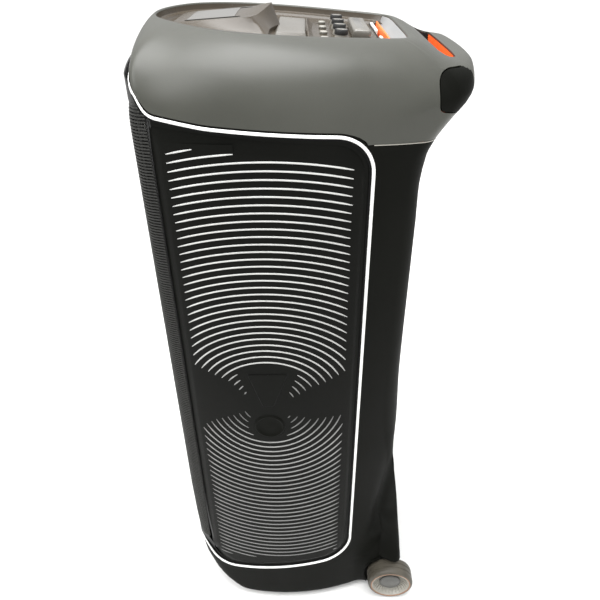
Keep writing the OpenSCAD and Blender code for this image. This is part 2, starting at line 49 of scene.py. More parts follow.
# ---------------------------------------------------------------- body lines, mm
SIDE_R, SIDE_Y, HALF_W = 427.0, -47.0, 220.5
SIDE_X = HALF_W - SIDE_R
FRONT_R, FRONT_Y = 826.0, -218.0
CORNER_R = 26.0
SEAM_Z = 925.0
# the rear face bows out toward the handle above this height
BOW_Z = 845
# depth at which the trim line leaves the seam
TRIM_END_Y = 88
UNDERSIDE_Z = 11.5
# range of x that holds either end of the handle
HANDLE_X0, HANDLE_X1 = 120, 240
TILT = math.radians(5.46)
RIM_Z = 1039.8
AXLE_Y, AXLE_Z = 172.0, 44.5
ARCH_R, ARCH_Y = 49.0, 121.0

# z, front sweep back, rear y at x = 0, rear bow (1/mm)
LEVELS = np.array([
    (0, 78, 150, 0.0), (5, 66, 150, 0.0), (18, 49, 150, 0.0), (40, 33, 150, 0.0), (62, 23, 150, 0.0),
    (106, 10, 150, 0.0), (152, 4.5, 150, 0.0), (220, 1.5, 150, 0.0), (300, 0, 150, 0.0),
    (845, 0, 150, -0.00028), (862, 0, 152.5, -0.0001), (880, 0, 157.5, 0.00014), (901, 0, 167, 0.0006),
    (920, 0, 180.5, 0.00083), (938, 0, 199, 0.00105), (952, 0.2, 214, 0.0011), (962, 0.8, 221, 0.0012),
    (972, 2.0, 223, 0.0012), (990, 4.5, 222, 0.0012), (1010, 10, 220, 0.0012), (1030, 13, 220, 0.0012),
    (1050, 21, 220, 0.0012), (1100, 45, 220, 0.0012)], float)
# z, crease y on the side, outer rear point x, y, pull point x, y, rear y at x = 0
REAR = np.array([
    (0, 121, 171, 192, 175, 123, 193), (88, 121, 171, 192, 175, 123, 193),
    (93.4, 170, 172, 192, 190, 176, 193), (94.5, 150, 176, 190, 196, 182, 193),
    (112, 150, 176, 189, 194, 184, 193), (135, 152, 174, 187, 190, 186, 191),
    (160, 152, 172, 184, 186, 182, 188), (190, 146, 168, 180.5, 181, 168, 184),
    (215, 139, 164, 178, 172, 151, 180), (250, 140, 163, 174, 169, 150, 174.5),
    (290, 143, 164, 168.5, 168, 151.5, 168), (330, 147, 166, 162.5, 170, 153, 161),
    (370, 148, 165, 157.5, 173, 155, 155), (410, 140, 158, 157.5, 174, 157.5, 151),
    (455, 132, 152, 158.5, 172.3, 158.5, 150), (500, 130, 151, 156.5, 172.3, 156.5, 150),
    (545, 130, 150.3, 154.5, 172.3, 154.5, 150), (600, 130, 150.3, 154, 172.3, 154, 150),
    (845, 130, 150.3, 154, 172.3, 154, 150)], float)


def lerp(table, z, col):
    return float(np.interp(z, table[:, 0], table[:, col]))


def side_x(y, t=0.0):
    """half width of the round side at depth y, inset by t"""
    return SIDE_X + math.sqrt((SIDE_R - t) ** 2 - (y - SIDE_Y) ** 2)


def circle_cross(c1, r1, c2, r2, k):
    """one of the two crossings of two circles, k says which"""
    d = math.hypot(c2[0] - c1[0], c2[1] - c1[1])
    a = (r1 * r1 - r2 * r2 + d * d) / (2 * d)
    h = math.sqrt(max(0.0, r1 * r1 - a * a))
    u = ((c2[0] - c1[0]) / d, (c2[1] - c1[1]) / d)
    return (c1[0] + u[0] * a - k * h * u[1], c1[1] + u[1] * a + k * h * u[0])


N_FRONT, N_CORNER, N_SIDE, N_REAR, N_BACK = 26, 16, 86, 22, 18


def smooth(a, b, x):
    s = min(1.0, max(0.0, (x - a) / (b - a)))
    return s * s * (3 - 2 * s)


def section(z, t=0.0):
    """right half of the outline at height z, from the front middle to the rear middle, inset by t"""
    sweep = lerp(LEVELS, z, 1)
    fc = (0.0, FRONT_Y + FRONT_R + sweep)
    sc = (SIDE_X, SIDE_Y)
    r = CORNER_R + 0.5 * sweep
    k = circle_cross(sc, SIDE_R - t - (r - t), fc, FRONT_R - t - (r - t), -1)
    a1 = math.atan2(k[1] - sc[1], k[0] - sc[0])
    a2 = math.atan2(k[1] - fc[1], k[0] - fc[0])
    pts = []
    front = -math.pi / 2
    for i in range(N_FRONT):
        a = front + (a2 - front) * i / N_FRONT
        pts.append((fc[0] + (FRONT_R - t) * math.cos(a), fc[1] + (FRONT_R - t) * math.sin(a)))
    for i in range(N_CORNER):
        a = a2 + (a1 - a2) * i / N_CORNER
        pts.append((k[0] + (r - t) * math.cos(a), k[1] + (r - t) * math.sin(a)))
    y0 = k[1] + (r - t) * math.sin(a1)
    if z < BOW_Z:
        ya = lerp(REAR, z, 1)
        if z < ARCH_R + AXLE_Z:
            ya = AXLE_Y - math.sqrt(max(0.0, ARCH_R ** 2 - (z - AXLE_Z) ** 2))
            ya = max(ya, ARCH_Y)
        bx, by, cx, cy = (lerp(REAR, z, c) for c in (2, 3, 4, 5))
        ye, kap = lerp(REAR, z, 6), 0.0
    else:
        ye, kap = lerp(LEVELS, z, 2), lerp(LEVELS, z, 3)
        # crossing of the side with the bowed rear
        cy = ye
        for _ in range(20):
            cx = side_x(min(cy, 230))
            cy = ye - 0.5 * kap * cx * cx
        ya = cy - 20
        bx = cx - 22
        by = ye - 0.5 * kap * bx * bx
    ax = side_x(ya)
    for i in range(N_SIDE):
        f = i / N_SIDE
        y = y0 + (ya - y0) * f
        pts.append((side_x(y, t), y))
    for i in range(N_REAR):
        f = i / N_REAR
        x = (1 - f) ** 2 * ax + 2 * f * (1 - f) * cx + f * f * bx
        y = (1 - f) ** 2 * ya + 2 * f * (1 - f) * cy + f * f * by
        pts.append((x - t * 0.7, y - t * 0.7))
    for i in range(N_BACK + 1):
        f = i / N_BACK
        x = bx * (1 - f)
        y = ye - 0.5 * kap * x * x if z >= BOW_Z else by + (ye - by) * (1 - (1 - f) ** 3)
        pts.append((x - t * 0.7 * (1 - f), y - t))
    return np.array(pts)


N_OUT = N_FRONT + N_CORNER + N_SIDE + N_REAR + N_BACK + 1
I_CORNER, I_SIDE = N_FRONT, N_FRONT + N_CORNER
I_REAR = I_SIDE + N_SIDE
I_BACK = I_REAR + N_REAR


# ---------------------------------------------------------------- trim line
TRIM_Q = [(90, 935, 50), (-105, 954.5, 250), (-171, 966, 20), (-192, 1011, 12), (-250, 1023, 0),
          (-250, 178, 0), (-191, 158, 14), (-158, 90, 44), (90, 121, 58)]


def round_poly(q, n=14, off=0.0):
    """counter-clockwise polygon with rounded corners, moved outward by off"""
    area = sum(q[i][0] * q[(i + 1) % len(q)][1] - q[(i + 1) % len(q)][0] * q[i][1] for i in range(len(q)))
    q = list(q) if area > 0 else list(q)[::-1]
    out = []
    m = len(q)
    for i in range(m):
        a, p, b = (np.array(q[j % m][:2], float) for j in (i - 1, i, i + 1))
        r = q[i][2]
        u, v = (p - a) / np.linalg.norm(p - a), (b - p) / np.linalg.norm(b - p)
        nu, nv = np.array([u[1], -u[0]]), np.array([v[1], -v[0]])
        mid = (nu + nv) / np.linalg.norm(nu + nv)
        p2 = p + mid * off / (mid @ nu)
        turn = u[0] * v[1] - u[1] * v[0]
        r = 0 if r <= 0 else max(0.8, r + (off if turn > 0 else -off))
        if r <= 0:
            out.append(p2)
            continue
        half = math.acos(max(-1, min(1, float(-u @ v)))) / 2
        tl = r / math.tan(half)
        s, e = p2 - u * tl, p2 + v * tl
        c = p2 + (v - u) / np.linalg.norm(v - u) * r / math.sin(half)
        a0 = math.atan2(*(s - c)[::-1])
        a1 = math.atan2(*(e - c)[::-1])
        d = (a1 - a0 + math.pi) % (2 * math.pi) - math.pi
        for k in range(n + 1):
            t = a0 + d * k / n
            out.append(c + r * np.array([math.cos(t), math.sin(t)]))
    return np.array(out)


def resample(p, step, closed=False):
    p = np.asarray(p, float)
    if closed:
        p = np.vstack([p, p[:1]])
    d = np.r_[0, np.cumsum(np.linalg.norm(np.diff(p, axis=0), axis=1))]
    n = max(2, int(round(d[-1] / step)))
    s = np.linspace(0, d[-1], n + 1)
    q = np.stack([np.interp(s, d, p[:, k]) for k in range(p.shape[1])], 1)
    return q[:-1] if closed else q


def half_curve(off=0.0):
    """trim half line in (y, z) from the top front middle over the side to the bottom front middle"""
    p = round_poly(TRIM_Q, 14, off)
    y, z = p[:, 0], p[:, 1]
    # start at the top front: last points with y < -240 and z > 900
    k = [i for i in range(len(p)) if y[i] < -240 and z[i] > 900][0]
    p = np.roll(p, -k, axis=0)
    if p[1][0] < -240:
        p = np.vstack([p[:1], p[:0:-1]])
    return p[::-1] if p[0][0] > -240 else p


def line_tables(off=0.0):
    """upper and lower trim line as tables of height over y, moved outward by off"""
    p = half_curve(off)
    i = int(np.argmax(p[:, 0]))
    a, b = p[:i + 1], p[i:]
    if a[:, 1].mean() < b[:, 1].mean():
        a, b = b, a
    return a[np.argsort(a[:, 0])], b[np.argsort(b[:, 0])]


UP, LO = line_tables()


def look_up(table, y):
    """height from a table of height over y"""
    return float(np.interp(y, table[:, 0], table[:, 1]))


def up_z(y, off=0.0):
    """height of the upper trim line moved outward by off"""
    slope = (look_up(UP, y + 1) - look_up(UP, y - 1)) / 2
    return look_up(UP, y) + off * math.hypot(1, slope)


# ---------------------------------------------------------------- deck lines
def droop(y):
    """the front end of the deck sinks a little below the plane of the rest, deck frame"""
    return -4.0 * smooth(-95, -185, y)


def deck_to_row(x, y, z=0.0):
    z += droop(y)
    return (x, SIDE_Y + y * math.cos(TILT) + z * math.sin(TILT), RIM_Z - y * math.sin(TILT) + z * math.cos(TILT))


# right half of the deck opening, x and row y
DECK_XY = [(0, -190.5), (22, -188.8), (42, -184), (60, -176.5), (80, -164), (98, -148), (114.5, -129), (127, -109),
           (135.5, -89), (140, -70), (142, -50), (142.5, -30), (141.5, -10), (139, 10), (135, 30), (130, 50),
           (124.5, 70), (118.7, 90), (113.2, 108), (109.5, 118), (104.5, 127), (96, 133.5), (85, 136.3), (70, 137.4),
           (45, 138), (20, 138.2), (0, 138.2)]


def deck_outline(step=4.0):
    """smooth right half of the deck opening in the deck frame, front middle to rear middle"""
    p = np.array(DECK_XY, float)
    p = np.stack([p[:, 0], (p[:, 1] - SIDE_Y) / math.cos(TILT)], 1)
    ext = np.vstack([p[1] * [-1, 1], p, p[-2] * [-1, 1]])
    out = []
    for k in range(1, len(ext) - 2):
        a, b, c, d = ext[k - 1:k + 3]
        for u in np.arange(0, 1, 0.125):
            out.append(0.5 * (2 * b + (c - a) * u + (2 * a - 5 * b + 4 * c - d) * u ** 2
                              + (3 * b - a - 3 * c + d) * u ** 3))
    out.append(p[-1])
    return resample(np.array(out), step)


# ---------------------------------------------------------------- mesh helpers
def new_object(name, verts, faces, mat, smooth_shade=True):
    """mesh object from points in mm"""
    me = bpy.data.meshes.new(name)
    me.from_pydata([tuple(float(c) * MM for c in v) for v in verts], [], faces)
    me.validate()
    me.update()
    ob = bpy.data.objects.new(name, me)
    bpy.context.scene.collection.objects.link(ob)
    for m in (mat if isinstance(mat, (list, tuple)) else [mat]):
        me.materials.append(m)
    for p in me.polygons:
        p.use_smooth = smooth_shade
    return ob


def clean(ob, dist=0.00002):
    """merges doubled points, drops flat slivers and makes the faces agree"""
    bm = bmesh.new()
    bm.from_mesh(ob.data)
    bmesh.ops.remove_doubles(bm, verts=bm.verts, dist=dist)
    bmesh.ops.dissolve_degenerate(bm, edges=bm.edges, dist=dist)
    bmesh.ops.recalc_face_normals(bm, faces=bm.faces)
    bm.to_mesh(ob.data)
    bm.free()
    ob.data.update()


def apply_modifiers(ob):
    """bakes the modifiers of a mesh into it"""
    dg = bpy.context.evaluated_depsgraph_get()
    me = bpy.data.meshes.new_from_object(ob.evaluated_get(dg))
    old = ob.data
    ob.modifiers.clear()
    ob.data = me
    bpy.data.meshes.remove(old)


def auto_smooth(ob, deg=35):
    """marks sharp edges by angle so that flat and curved faces both read right"""
    bm = bmesh.new()
    bm.from_mesh(ob.data)
    for e in bm.edges:
        e.smooth = not (len(e.link_faces) == 2 and e.calc_face_angle(0) > math.radians(deg))
    for f in bm.faces:
        f.smooth = True
    bm.to_mesh(ob.data)
    bm.free()


def grid_faces(nu, nv, closed_u=False, flip=False, base=0):
    """quads of nv rows of nu points each"""
    faces = []
    for j in range(nv - 1):
        for i in range(nu if closed_u else nu - 1):
            a = base + j * nu + i
            b = base + j * nu + (i + 1) % nu
            f = (a, b, b + nu, a + nu)
            faces.append(f[::-1] if flip else f)
    return faces


def mirror_half(p):
    """right half outline to the full closed loop, middle points kept once"""
    left = p[1:-1][::-1].copy()
    left[:, 0] *= -1
    return np.vstack([p, left])


def bool_cut(ob, cutter):
    """takes the cutter's volume out of a closed mesh and removes the cutter"""
    m = ob.modifiers.new("cut", "BOOLEAN")
    m.operation = "DIFFERENCE"
    m.object = cutter
    m.solver = "EXACT"
    apply_modifiers(ob)
    bpy.data.objects.remove(cutter, do_unlink=True)


def prism(name, poly, axis, lo, hi, mat=None):
    """solid of a closed 2D polygon along a row axis"""
    n = len(poly)
    verts = []
    for h in (lo, hi):
        for a, b in poly:
            verts.append({"x": (h, a, b), "y": (a, h, b), "z": (a, b, h)}[axis])
    faces = [tuple(range(n))[::-1], tuple(range(n, 2 * n))]
    faces += [(i, (i + 1) % n, n + (i + 1) % n, n + i) for i in range(n)]
    ob = new_object(name, verts, faces, mat or [], False)
    clean(ob)
    return ob


def in_poly(y, z, poly):
    """whether a point is inside a closed polygon"""
    c = False
    n = len(poly)
    for i in range(n):
        (y1, z1), (y2, z2) = poly[i], poly[i - 1]
        if (z1 > z) != (z2 > z) and y < (y2 - y1) * (z - z1) / (z2 - z1) + y1:
            c = not c
    return c


def punch(ob, poly, axis, lo, hi, keep=False):
    """cuts a mesh along a polygon looking down a row axis (mm) and drops the inside, or keeps only it"""
    u, v, w = {"x": (1, 2, 0), "y": (0, 2, 1), "z": (0, 1, 2)}[axis]
    poly = [(float(a), float(b)) for a, b in poly]
    bm = bmesh.new()
    bm.from_mesh(ob.data)
    a0, a1 = min(p[0] for p in poly) - 15, max(p[0] for p in poly) + 15
    b0, b1 = min(p[1] for p in poly) - 15, max(p[1] for p in poly) + 15

    def near(f):
        c = f.calc_center_median() / MM
        return a0 < c[u] < a1 and b0 < c[v] < b1 and lo < c[w] < hi
    for i in range(len(poly)):
        (p0, q0), (p1, q1) = poly[i - 1], poly[i]
        if math.hypot(p1 - p0, q1 - q0) < 1e-4:
            continue
        faces = [f for f in bm.faces if near(f)]
        geom = faces + list({e for f in faces for e in f.edges}) + list({x for f in faces for x in f.verts})
        co, no = [0, 0, 0], [0, 0, 0]
        co[u], co[v] = p0 * MM, q0 * MM
        no[u], no[v] = q1 - q0, -(p1 - p0)
        bmesh.ops.bisect_plane(bm, geom=geom, plane_co=co, plane_no=no, dist=1e-7)
    drop = []
    for f in bm.faces:
        c = f.calc_center_median() / MM
        inside = lo < c[w] < hi and in_poly(c[u], c[v], poly)
        if inside != keep:
            drop.append(f)
    bmesh.ops.delete(bm, geom=drop, context="FACES")
    bm.to_mesh(ob.data)
    bm.free()
    ob.data.update()


def orient(ob, ref):
    """turns the faces of an open sheet so that they look away from ref (mm)"""
    r = Vector(ref) * MM
    total = sum(f.area * f.normal.dot(f.center - r) for f in ob.data.polygons)
    if total < 0:
        ob.data.flip_normals()
        ob.data.update()


def thicken(ob, t):
    """gives an open sheet a thickness of t mm, inward from its faces"""
    m = ob.modifiers.new("thick", "SOLIDIFY")
    m.thickness = t * MM
    m.offset = -1
    apply_modifiers(ob)


def revolve(prof, n=96, axis="x", centre=(0, 0, 0)):
    """lathe of profile [(radius, along)] about a row axis through centre"""
    verts, faces = [], []
    m = len(prof)
    for i in range(n):
        a = 2 * math.pi * i / n
        for r, h in prof:
            c, s = r * math.cos(a), r * math.sin(a)
            v = {"x": (h, c, s), "y": (s, h, c), "z": (c, s, h)}[axis]
            verts.append(tuple(v[k] + centre[k] for k in range(3)))
    for i in range(n):
        j = (i + 1) % n
        for k in range(m - 1):
            faces.append((i * m + k, i * m + k + 1, j * m + k + 1, j * m + k))
    return verts, faces


def rounded_box(name, lo, hi, r, mat, seg=3):
    """block from corner lo to corner hi with all edges rounded by r"""
    bm = bmesh.new()
    bmesh.ops.create_cube(bm, size=1.0)
    c = [(lo[k] + hi[k]) / 2 for k in range(3)]
    s = [hi[k] - lo[k] for k in range(3)]
    for v in bm.verts:
        v.co = Vector([(c[k] + v.co[k] * s[k]) * MM for k in range(3)])
    bmesh.ops.bevel(bm, geom=list(bm.edges), offset=r * MM, segments=seg, profile=0.5, affect="EDGES")
    me = bpy.data.meshes.new(name)
    bm.to_mesh(me)
    bm.free()
    ob = bpy.data.objects.new(name, me)
    bpy.context.scene.collection.objects.link(ob)
    me.materials.append(mat)
    auto_smooth(ob, 40)
    return ob


def sweep(points, normals, prof, closed=False, taper=None):
    """strip of cross-section prof [(across, out)] along points with outward normals"""
    p = np.asarray(points, float)
    nrm = np.asarray(normals, float)
    n = len(p)
    if closed:
        tan = np.roll(p, -1, 0) - np.roll(p, 1, 0)
    else:
        tan = np.gradient(p, axis=0)
    tan /= np.linalg.norm(tan, axis=1)[:, None] + 1e-12
    bi = np.cross(nrm, tan)
    bi /= np.linalg.norm(bi, axis=1)[:, None] + 1e-12
    verts = []
    for i in range(n):
        k = 1.0 if taper is None else taper[i]
        for a, o in prof:
            verts.append(p[i] + bi[i] * a * (0.35 + 0.65 * k) + nrm[i] * o * (k if o > 0 else 1))
    m = len(prof)
    faces = []
    for i in range(n if closed else n - 1):
        j = (i + 1) % n
        for q in range(m - 1):
            faces.append((i * m + q, j * m + q, j * m + q + 1, i * m + q + 1))
    return verts, faces


def to_deck(ob):
    """moves a mesh made in the deck frame (mm * MM) into the row frame"""
    for v in ob.data.vertices:
        v.co.z += droop(v.co.y / MM) * MM
    rot = Matrix.Rotation(-TILT, 4, "X")
    ob.data.transform(Matrix.Translation(Vector((0, SIDE_Y, RIM_Z)) * MM) @ rot)
    ob.data.update()


def ride(ob, body, slot, *replaced):
    """ties a piece to its body and the frame nodes that it stands in for; slot is not used"""
    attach(ob, body)
    if replaced:
        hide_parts(*replaced)
    return ob


def piece(name, mesh, mat, body, slot, *replaced, sharp=0, away=None, thick=0, deck=False):
    """finished piece from (points, faces): sheets face away from a point and get a thickness, edges above
    sharp degrees stay sharp, and deck pieces are moved from the deck frame"""
    ob = new_object(name, *mesh, M[mat], bool(sharp))
    clean(ob)
    if away:
        orient(ob, away)
    if thick:
        thicken(ob, thick)
    if sharp:
        auto_smooth(ob, sharp)
    if deck:
        to_deck(ob)
    return ride(ob, body, slot, *replaced)


def deck_block(name, lo, hi, r, mat, body, slot, *replaced):
    """rounded block in the deck frame"""
    ob = rounded_box(name, lo, hi, r, M[mat])
    to_deck(ob)
    return ride(ob, body, slot, *replaced)


# ---------------------------------------------------------------- materials
def add(nt, kind, values=None, **kw):
    """node of a kind with its settings and the uniform values of its inputs"""
    n = nt.nodes.new(kind)
    for k, v in kw.items():
        setattr(n, k, v)
    for k, v in (values or {}).items():
        n.inputs[k].default_value = v
    return n


def plastic(name, dark, light, rough=(0.45, 0.6), grain=900.0, bump=0.25, coat=0.0, spec=0.5, smudge=9.0,
            metallic=0.0):
    """moulded or painted surface: fine grain bump, slow colour and gloss variation"""
    m = bpy.data.materials.new(name)
    m.use_nodes = True
    nt = m.node_tree
    b = nt.nodes["Principled BSDF"]
    coords = add(nt, "ShaderNodeTexCoord")
    fine = add(nt, "ShaderNodeTexNoise", {"Scale": grain, "Detail": 3.0, "Roughness": 0.6})
    slow = add(nt, "ShaderNodeTexNoise", {"Scale": smudge, "Detail": 5.0, "Roughness": 0.55})
    part = add(nt, "ShaderNodeMath", {1: 0.55}, operation="MULTIPLY")
    both = add(nt, "ShaderNodeMath", {1: 0.45}, operation="MULTIPLY_ADD")
    ramp = add(nt, "ShaderNodeValToRGB")
    for e, at, colour in zip(ramp.color_ramp.elements, (0.32, 0.68), (dark, light)):
        e.position = at
        e.color = (*colour, 1)
    gloss = add(nt, "ShaderNodeMapRange", {"To Min": rough[0], "To Max": rough[1], "From Min": 0.3, "From Max": 0.7})
    relief = add(nt, "ShaderNodeBump", {"Strength": bump, "Distance": 0.0004})
    for a, out, c, to in ((coords, "Object", fine, "Vector"), (coords, "Object", slow, "Vector"),
                          (slow, "Fac", part, 0), (fine, "Fac", both, 0), (part, 0, both, 2), (both, 0, ramp, "Fac"),
                          (ramp, "Color", b, "Base Color"), (slow, "Fac", gloss, "Value"),
                          (gloss, "Result", b, "Roughness"), (fine, "Fac", relief, "Height"),
                          (relief, "Normal", b, "Normal")):
        nt.links.new(a.outputs[out], c.inputs[to])
    for k, v in (("Specular IOR Level", spec), ("Coat Weight", coat), ("Metallic", metallic)):
        b.inputs[k].default_value = v
    return m


M = {
    "hood": plastic("hood_plastic", (0.035, 0.036, 0.029), (0.047, 0.048, 0.039), (0.34, 0.42), 1400, 0.3, spec=0.4),
    "shell": plastic("shell_plastic", (0.0034, 0.0036, 0.0028), (0.0056, 0.0059, 0.0047), (0.42, 0.55), 1400, 0.3,
                     spec=0.035),
    "panel": plastic("panel_plastic", (0.0030, 0.0032, 0.0026), (0.0048, 0.0050, 0.0041), (0.34, 0.44), 1800, 0.35,
                     spec=0.05),
    # the ridges' light colour is partly painted highlight, standing in for their glossy tops catching the overhead
    # light
    "ridge": plastic("ridge_painted_highlight", (0.42, 0.42, 0.41), (0.56, 0.56, 0.54), (0.3, 0.42), 1500, 0.12, spec=0.5),
    "trim": plastic("trim_silver", (0.80, 0.80, 0.78), (0.90, 0.90, 0.88), (0.25, 0.35), 600, 0.05, spec=0.5),
    # near-black for gaps, grooves and slits: painted shade standing for the shadow inside them
    "gap": plastic("gap_painted_shade", (0.003, 0.003, 0.003), (0.005, 0.005, 0.005), (0.7, 0.8), 900, 0.1, spec=0.1),
    "grille": plastic("grille_metal", (0.008, 0.008, 0.0065), (0.014, 0.014, 0.0115), (0.38, 0.5), 2200, 0.3,
                      spec=0.3),
    "black": plastic("black_plastic", (0.010, 0.010, 0.010), (0.016, 0.016, 0.016), (0.4, 0.55), 1500, 0.25),
    "deck": plastic("deck_plastic", (0.032, 0.024, 0.015), (0.052, 0.040, 0.026), (0.20, 0.30), 1600, 0.2, spec=0.42),
    "rim": plastic("rim_plastic", (0.09, 0.084, 0.072), (0.13, 0.121, 0.105), (0.20, 0.28), 1600, 0.15, spec=0.7),
    "orange": plastic("orange_plastic", (0.90, 0.16, 0.03), (1.0, 0.22, 0.05), (0.35, 0.5), 1200, 0.15),
    "display": plastic("display_glass", (0.006, 0.006, 0.007), (0.008, 0.008, 0.010), (0.06, 0.12), 300, 0.02,
                       coat=0.6),
    "glass": plastic("display_cover", (0.075, 0.07, 0.06), (0.10, 0.093, 0.08), (0.10, 0.16), 300, 0.02, coat=0.4),
    "keys": plastic("key_plastic", (0.20, 0.19, 0.17), (0.28, 0.27, 0.24), (0.3, 0.4), 1200, 0.1),
    "ramp": plastic("recess_plastic", (0.17, 0.175, 0.175), (0.23, 0.235, 0.235), (0.3, 0.45), 1200, 0.15),
    "pale": plastic("pale_plastic", (0.66, 0.65, 0.61), (0.80, 0.79, 0.75), (0.35, 0.5), 1200, 0.12),
    "rubber": plastic("rubber_black", (0.012, 0.012, 0.012), (0.02, 0.02, 0.02), (0.7, 0.85), 1200, 0.4, spec=0.3),
    "tyre": plastic("tyre_rubber", (0.042, 0.037, 0.028), (0.072, 0.064, 0.049), (0.40, 0.55), 1000, 0.35, spec=0.4,
                    smudge=40),
    "hub": plastic("hub_plastic", (0.24, 0.23, 0.20), (0.36, 0.345, 0.305), (0.25, 0.4), 1100, 0.15),
    "hub_dark": plastic("hub_cap_plastic", (0.055, 0.055, 0.05), (0.085, 0.085, 0.078), (0.3, 0.45), 1100, 0.15),
    "bronze": plastic("rim_line_bronze", (0.22, 0.12, 0.07), (0.32, 0.18, 0.11), (0.25, 0.4), 900, 0.1, metallic=0.5),
    "steel": plastic("zinc_steel", (0.50, 0.50, 0.50), (0.64, 0.64, 0.65), (0.25, 0.4), 500, 0.1, metallic=1.0,
                     smudge=60),
    "aluminium": plastic("black_anodised", (0.05, 0.05, 0.052), (0.075, 0.075, 0.078), (0.3, 0.42), 700, 0.1,
                         metallic=0.9, smudge=40),
    "board": plastic("fibre_board", (0.10, 0.075, 0.05), (0.16, 0.12, 0.08), (0.7, 0.85), 260, 0.4, smudge=60),
    "cone": plastic("pulp_cone", (0.016, 0.016, 0.017), (0.03, 0.03, 0.032), (0.75, 0.9), 420, 0.6, spec=0.2),
    "frame_metal": plastic("enamelled_frame", (0.03, 0.03, 0.032), (0.045, 0.045, 0.047), (0.3, 0.42), 900, 0.15),
    "light": plastic("diffuser", (0.70, 0.72, 0.76), (0.82, 0.84, 0.88), (0.35, 0.45), 800, 0.05),
    "circuit": plastic("circuit_board", (0.01, 0.07, 0.03), (0.02, 0.11, 0.05), (0.3, 0.45), 200, 0.15),
}


def fade_z(mat, stops):
    """multiplies the colour of a material by a factor over height in metres"""
    nt = mat.node_tree
    b = nt.nodes["Principled BSDF"]
    src = b.inputs["Base Color"].links[0].from_socket
    tc, sep = add(nt, "ShaderNodeTexCoord"), add(nt, "ShaderNodeSeparateXYZ")
    ramp, mix = add(nt, "ShaderNodeValToRGB"), add(nt, "ShaderNodeMix", data_type="RGBA", blend_type="MULTIPLY")
    nt.links.new(tc.outputs["Object"], sep.inputs["Vector"])
    nt.links.new(sep.outputs["Z"], ramp.inputs["Fac"])
    el = ramp.color_ramp.elements
    while len(el) < len(stops):
        el.new(0.5)
    for e, (z, k) in zip(el, stops):
        e.position = z
    for e, (z, k) in zip(el, stops):
        e.color = (k, k, k, 1)
    mix.inputs["Factor"].default_value = 1.0
    nt.links.new(src, mix.inputs["A"])
    nt.links.new(ramp.outputs["Color"], mix.inputs["B"])
    nt.links.new(mix.outputs["Result"], b.inputs["Base Color"])


# painted highlight on the ridges: lighter toward the top of the panel, darkest near the middle height
fade_z(M["ridge"], [(0.14, 0.26), (0.32, 0.36), (0.44, 0.5), (0.47, 0.42), (0.51, 0.14), (0.56, 0.3), (0.61, 0.8),
                    (0.92, 1.0)])

SLOT_OF = {n["node"]: n["material_slot"] for n in frame["record"]["subparts"]}
DARK_NODES = ("front_baffle", "brace_frame")
for node_name, node_ob in NODES.items():
    node_ob.data.materials.clear()
    node_ob.data.materials.append(M["black" if node_name in DARK_NODES else SLOT_OF[node_name]])

# ---------------------------------------------------------------- cabinet skin
Z_CACHE = {}
# steps per mm of height
SEC_STEPS = 4.0


def sec(z):
    """section at height z, kept for the next call"""
    key = round(z * SEC_STEPS)
    if key not in Z_CACHE:
        Z_CACHE[key] = section(key / SEC_STEPS)
    return Z_CACHE[key]


def flare(p, z):
    """outward swell of the fender round the wheel arch"""
    x, y = p
    if y < 90 or z > 190 or x < 120:
        return x
    rho = math.hypot(y - AXLE_Y, z - AXLE_Z)
    if rho < ARCH_R - 0.6 and z < ARCH_R + AXLE_Z - 0.2:
        return x
    return x + 13.0 * math.exp(-((rho - ARCH_R) / 22.0) ** 2) * smooth(100, 150, y) * smooth(190, 150, z)


def scoop(p, z):
    """hollow that runs down the rear corner into the fender"""
    x, y = p
    if not 140 < z < 440 or x < 100:
        return 0.0
    mid = 138 + 16 * smooth(170, 380, z)
    return 8.0 * math.exp(-((y - mid) / 11.0) ** 2) * smooth(430, 230, z) * smooth(146, 176, z)


def body_point(i, z):
    """point of outline index i at height z on the finished body"""
    p = sec(z)[i]
    if I_SIDE <= i < I_BACK:
        return (flare(p, z) - scoop(p, z), p[1])
    return (p[0], p[1])


def seam_z(y):
    """height of the seam behind the trim line, falling a little toward the rear"""
    return SEAM_Z - 0.1 * max(0.0, y - TRIM_END_Y)


def hood_base(i, off):
    """height of the line between cabinet and hood at outline index i"""
    z = 960.0
    for _ in range(4):
        x, y = body_point(i, z)
        if i <= I_SIDE or y < 60:
            z = up_z(y, off)
        else:
            z = max(SEAM_Z + off * 0.2, up_z(y, off)) if y < TRIM_END_Y else seam_z(y) + off * 0.2
    return z


# how far the body is cut open, and the hood starts, outside the trim line
TRIM_CUT, HOOD_CUT = 0.4, 4.3
ZB = np.array([hood_base(i, HOOD_CUT) for i in range(N_OUT)])


